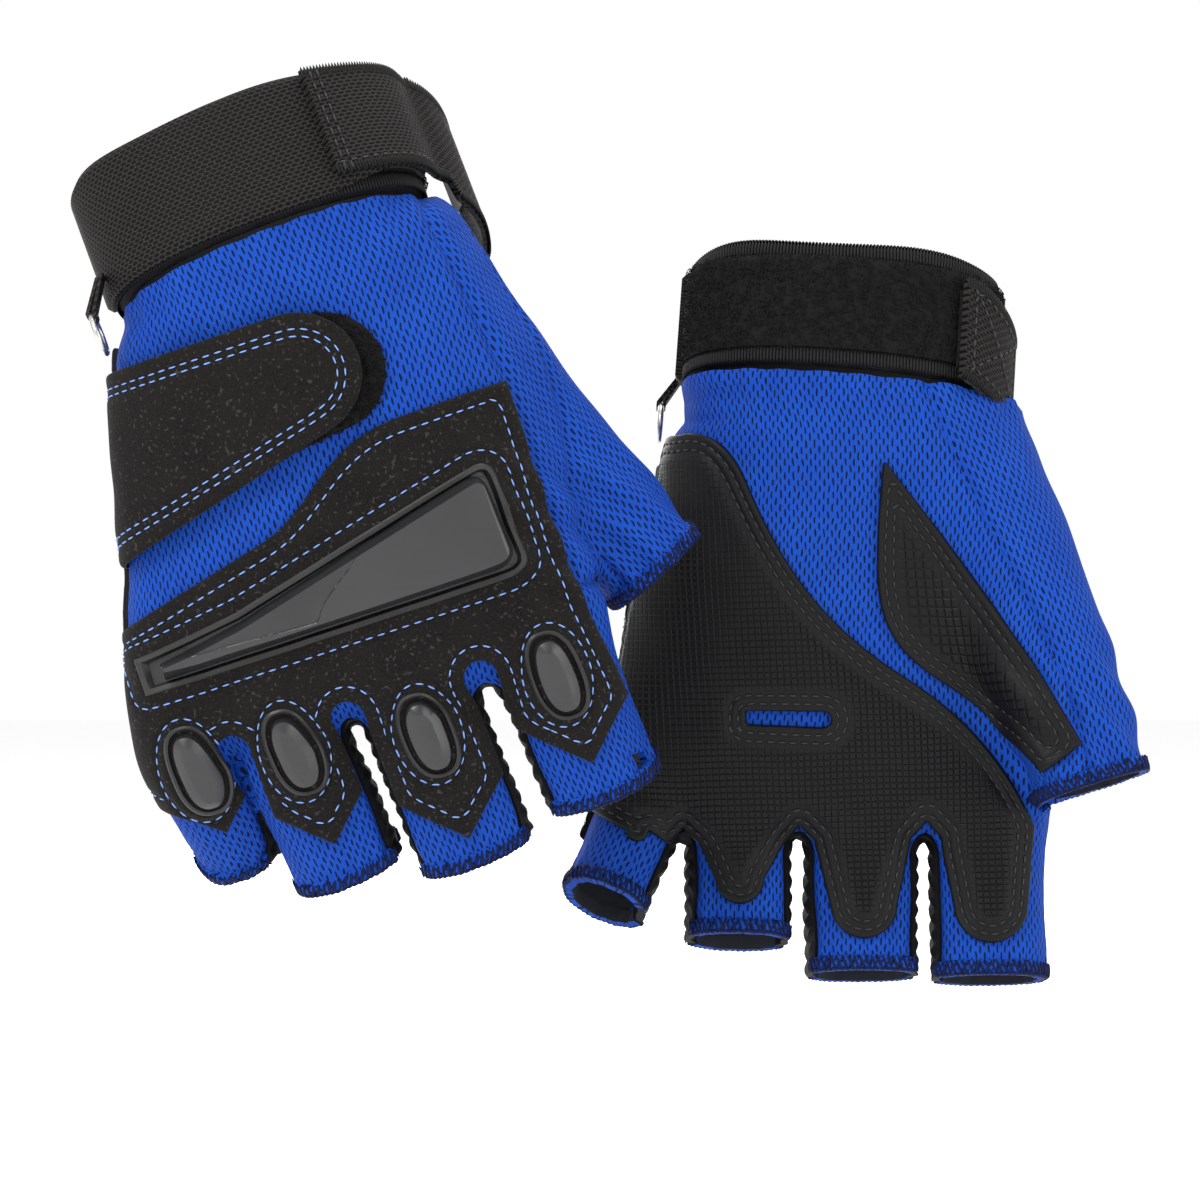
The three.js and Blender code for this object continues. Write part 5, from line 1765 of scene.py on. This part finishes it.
for side in SIDES:
    form = FORMS[side]
    turns, marks = cuff_turns(0.02, math.pi * 0.99)
    arch = cuff_top(turns)
    low = CUFF_FOOT + 0.5 + (LOW_EDGE_RISE if side == "right" else 0.0) * smooth_step(-turns, -1.25, -0.5)
    solid, every, cloth, _, _ = wall(form, turns, marks, low, CUFF_HEAD - 0.4 + arch, STRAP_LIFT, STRAP_THICK)
    strap = made_piece("wrist_strap", side, solid, every, [WEBBING], cloth=cloth)
    fitted(strap, "root", "webbing", f"{side}_wrist_strap")

    def laid_open(flat, z, marks, side=side):
        """The free end past the thumb edge, turned out from the cuff and drooping as it lies."""
        past = marks - edge_mark
        peel = math.radians(TAB_PEEL[side]) * smooth_step(past, -2, 3)
        out, off = flat[..., 0] - HINGE_OUT, flat[..., 1]
        cos, sin = np.cos(peel)[:, None], np.sin(peel)[:, None]
        turned = np.stack([HINGE_OUT + out * cos + off * sin, -out * sin + off * cos], -1)
        if side == "right":
            droop = -RIGHT_DROOP * np.maximum(past, 0) ** DROOP_POWER
        else:
            droop = -EDGE_SAG * smooth_step(past, -20, 0) + TIP_RISE * smooth_step(past, 1, 22)
        return turned, z + droop[:, None]

    seam_to_edge = cuff_turns(0, SEAM_TURN)[1][-1]
    turns, marks = cuff_turns(SEAM_TURN, -1.2)
    kept = marks < seam_to_edge + TAB_LENGTH
    turns, marks = turns[kept], marks[kept]
    edge_mark = seam_to_edge
    past = marks - edge_mark
    corner = np.clip((past - TAB_LENGTH + 5) / 5, 0, 1)
    cut_in = 4.2 * (1 - np.sqrt(1 - corner**2)) if side == "right" else 0.8 * corner**4
    arch = cuff_top(turns) * (past < 0)
    high = CUFF_HEAD - 0.3 + arch - cut_in - (4.0 if side == "left" else 1.0) * smooth_step(past, -2, 4)
    low = CUFF_FOOT + (LOW_EDGE_RISE if side == "right" else 0.8) * (past < 3) + cut_in
    lift = END_LIFT + 0.8 * smooth_step(past, -4, 2)
    solid, every, cloth, _, _ = wall(form, turns, marks, low, high, lift, STRAP_THICK, bend_to=laid_open)
    every = every[:, ::-1]
    end_piece = made_piece("strap_end", side, solid, every, [WEBBING], cloth=cloth)
    near_hinge = in_glove(form, np.array([(HINGE_OUT, -4.0), (HINGE_OUT, 3.0)]), np.array([13.0, 13.0]))
    first, last = placed(side, near_hinge)
    at_edge = ("root", f"{side}_strap_tab", tuple(first), tuple(last))
    fitted(end_piece, at_edge, "webbing", f"{side}_strap_end")
    size = (0.62, 2.6, 0.55)
    for name, height in (("lower", low + 0.9), ("upper", high - 0.9)):
        ribs(
            f"strap_end_{name}_edge",
            side,
            turns,
            height,
            lift + STRAP_THICK - 0.1,
            size,
            RIB_BLACK,
            at_edge,
            laid_open,
            marks,
        )

    def sewn(points_on, form=form):
        """A row of stitches through spots given along the free end and up it."""
        along, height = np.array(points_on, float).T
        length = np.concatenate([[0], np.cumsum(np.hypot(np.diff(along), np.diff(height)))])
        fine = np.linspace(0, length[-1], int(length[-1] / 0.8) + 3)
        along, height = np.interp(fine, length, along) + edge_mark, np.interp(fine, length, height)
        turn = np.interp(along, marks, turns)
        layers = []
        for extra in (STRAP_THICK + 0.02, 0.0):
            grow = np.interp(along, marks, lift) + extra
            flat = np.stack([round_cuff(t, g) for t, g in zip(turn, grow)])
            flat, z = laid_open(flat[:, None], height[:, None], along)
            layers.append(in_glove(form, flat[:, 0], z[:, 0]))
        return layers[0], layers[0] - layers[1]

    back = -seam_to_edge
    rows = [sewn([(back + x, 5.5), (back + x, CUFF_HEAD - 2)]) for x in (1.2, 2.4)]
    rows.append(sewn([(back + 1.2, 6.3), (-3, 6.3)]))
    if side == "left":
        box = [(5.5, 4), (18.5, 4), (18.5, 19.5), (5.5, 19.5), (5.5, 4), (18.5, 19.5)]
        rows += [sewn(box), sewn([(18.5, 4), (5.5, 19.5)])]
    thread_rows("strap_stitches", side, rows, at_edge, "hem_thread", BLACK_THREAD, 2.2, 1.8, 0.5)

    hook_turns, hook_marks = turns[past > 4], marks[past > 4]
    hook_low, hook_high = low[past > 4] + 2, high[past > 4] - 2
    if side == "right":
        hook_low = np.maximum(hook_low, CUFF_FOOT + 2.2 + RIGHT_DROOP * past[past > 4] ** DROOP_POWER)
    solid, every, cloth, _, _ = wall(
        form, hook_turns, hook_marks, hook_low, hook_high, END_LIFT - 0.05, 0.8, rows=8, bend_to=laid_open
    )
    every = every[:, ::-1]
    tape = made_piece("strap_hook_tape", side, solid, every, [HOOK_BLACK], cloth=cloth)
    fitted(tape, f"{side}_strap_tab", "hook_tape", f"{side}_strap_hook")


# ---------------------------------------------------------------- pairing ring
# A small steel ring hangs in a fold of tape sewn to the strap's lower corner, on the side of the
# little finger. It joins the two gloves when they aren't worn.

RING_RADIUS, RING_WIRE = 3.6, 0.62
RING_OUT, RING_OFF = 34.9, -12.0


def steel():
    made, tree, shader = principled("ring_steel", (0.55, 0.54, 0.52), 0.28, Metallic=1.0)
    place = node(tree, "ShaderNodeTexCoord").outputs["Object"]
    worn = noise(tree, place, 900.0, 3.0)
    tree.links.new(mixed(tree, worn, (0.42, 0.4, 0.37), (0.66, 0.65, 0.63)), shader.inputs["Base Color"])
    tree.links.new(ramp(tree, worn, 0.3, 0.7, 0.22, 0.42), shader.inputs["Roughness"])
    bumped(tree, shader, worn, 0.15, 0.0001)
    return made


RING_STEEL = steel()

for side in SIDES:
    form = FORMS[side]
    ring_top = CUFF_FOOT - 2.4
    around = np.linspace(0, 2 * math.pi, 73)[:-1]
    tube = np.linspace(0, 2 * math.pi, 17)[:-1]
    major = RING_RADIUS + RING_WIRE * np.cos(tube)
    off = RING_OFF + major[None] * np.cos(around)[:, None]
    height = ring_top - RING_RADIUS + major[None] * np.sin(around)[:, None]
    out = -RING_OUT + RING_WIRE * np.sin(tube)[None] + 0 * off
    points = in_glove(form, np.stack([out, off], -1), height).reshape(-1, 3)
    i, k = np.meshgrid(np.arange(72), np.arange(16), indexing="ij")
    a, b = (i * 16 + k).ravel(), (i * 16 + (k + 1) % 16).ravel()
    c, d = ((i + 1) % 72 * 16 + (k + 1) % 16).ravel(), ((i + 1) % 72 * 16 + k).ravel()
    faces = np.concatenate([np.stack([a, b, c], -1), np.stack([a, c, d], -1)])
    ring = made_piece("pair_ring", side, points, faces, [RING_STEEL])
    fitted(ring, f"{side}_ring", "ring_steel", f"{side}_pair_ring")

    # The tape goes down behind the ring's top, round under it, and back up in front.
    fold = np.linspace(-math.pi / 2, math.pi / 2, 13)
    gap = RING_WIRE + 0.35
    shape = [(-gap, CUFF_FOOT + 4.2), (-gap, ring_top + 0.6)]
    shape += [
        (-gap * math.cos(t + math.pi / 2), ring_top - gap * math.sin(t + math.pi / 2)) for t in fold[1:]
    ]
    shape += [(gap, ring_top + 0.6), (gap * 0.7, CUFF_FOOT + 4.6)]
    path = np.array(shape)
    ahead = np.gradient(path, axis=0)
    ahead /= np.linalg.norm(ahead, axis=1, keepdims=True)
    normal = np.stack([ahead[:, 1], -ahead[:, 0]], -1)
    widths = np.linspace(-1.7, 1.7, 7)
    layers = []
    for grow in (0.7, 0.0):
        spots = path - normal * grow
        leaning = 4.0 * smooth_step(spots[:, 1], ring_top + 0.8, CUFF_FOOT + 4)
        out = np.repeat((spots[:, 0] + leaning)[:, None], len(widths), 1) - RING_OUT
        off = np.broadcast_to(RING_OFF + widths, out.shape)
        height = np.repeat(spots[:, 1:], len(widths), 1)
        layers.append(in_glove(form, np.stack([out, off], -1), height).reshape(-1, 3))
    i, k = np.meshgrid(np.arange(len(path) - 1), np.arange(len(widths) - 1), indexing="ij")
    a = (i * len(widths) + k).ravel()
    after = a + len(widths)
    faces = np.concatenate([np.stack([a, after, after + 1], -1), np.stack([a, after + 1, a + 1], -1)])
    solid, every, _ = thickened(layers[0], np.zeros_like(layers[0]), faces, 0, 0)
    solid[len(layers[0]) :] = layers[1]
    along = np.concatenate([[0], np.cumsum(np.linalg.norm(np.diff(path, axis=0), axis=1))])
    cloth = np.stack([np.repeat(along, len(widths)), np.tile(widths, len(path))], -1)
    tape = made_piece("ring_loop", side, solid, every, [WEBBING], cloth=np.tile(cloth, (2, 1)))
    fitted(tape, "root", "webbing", f"{side}_ring_loop")
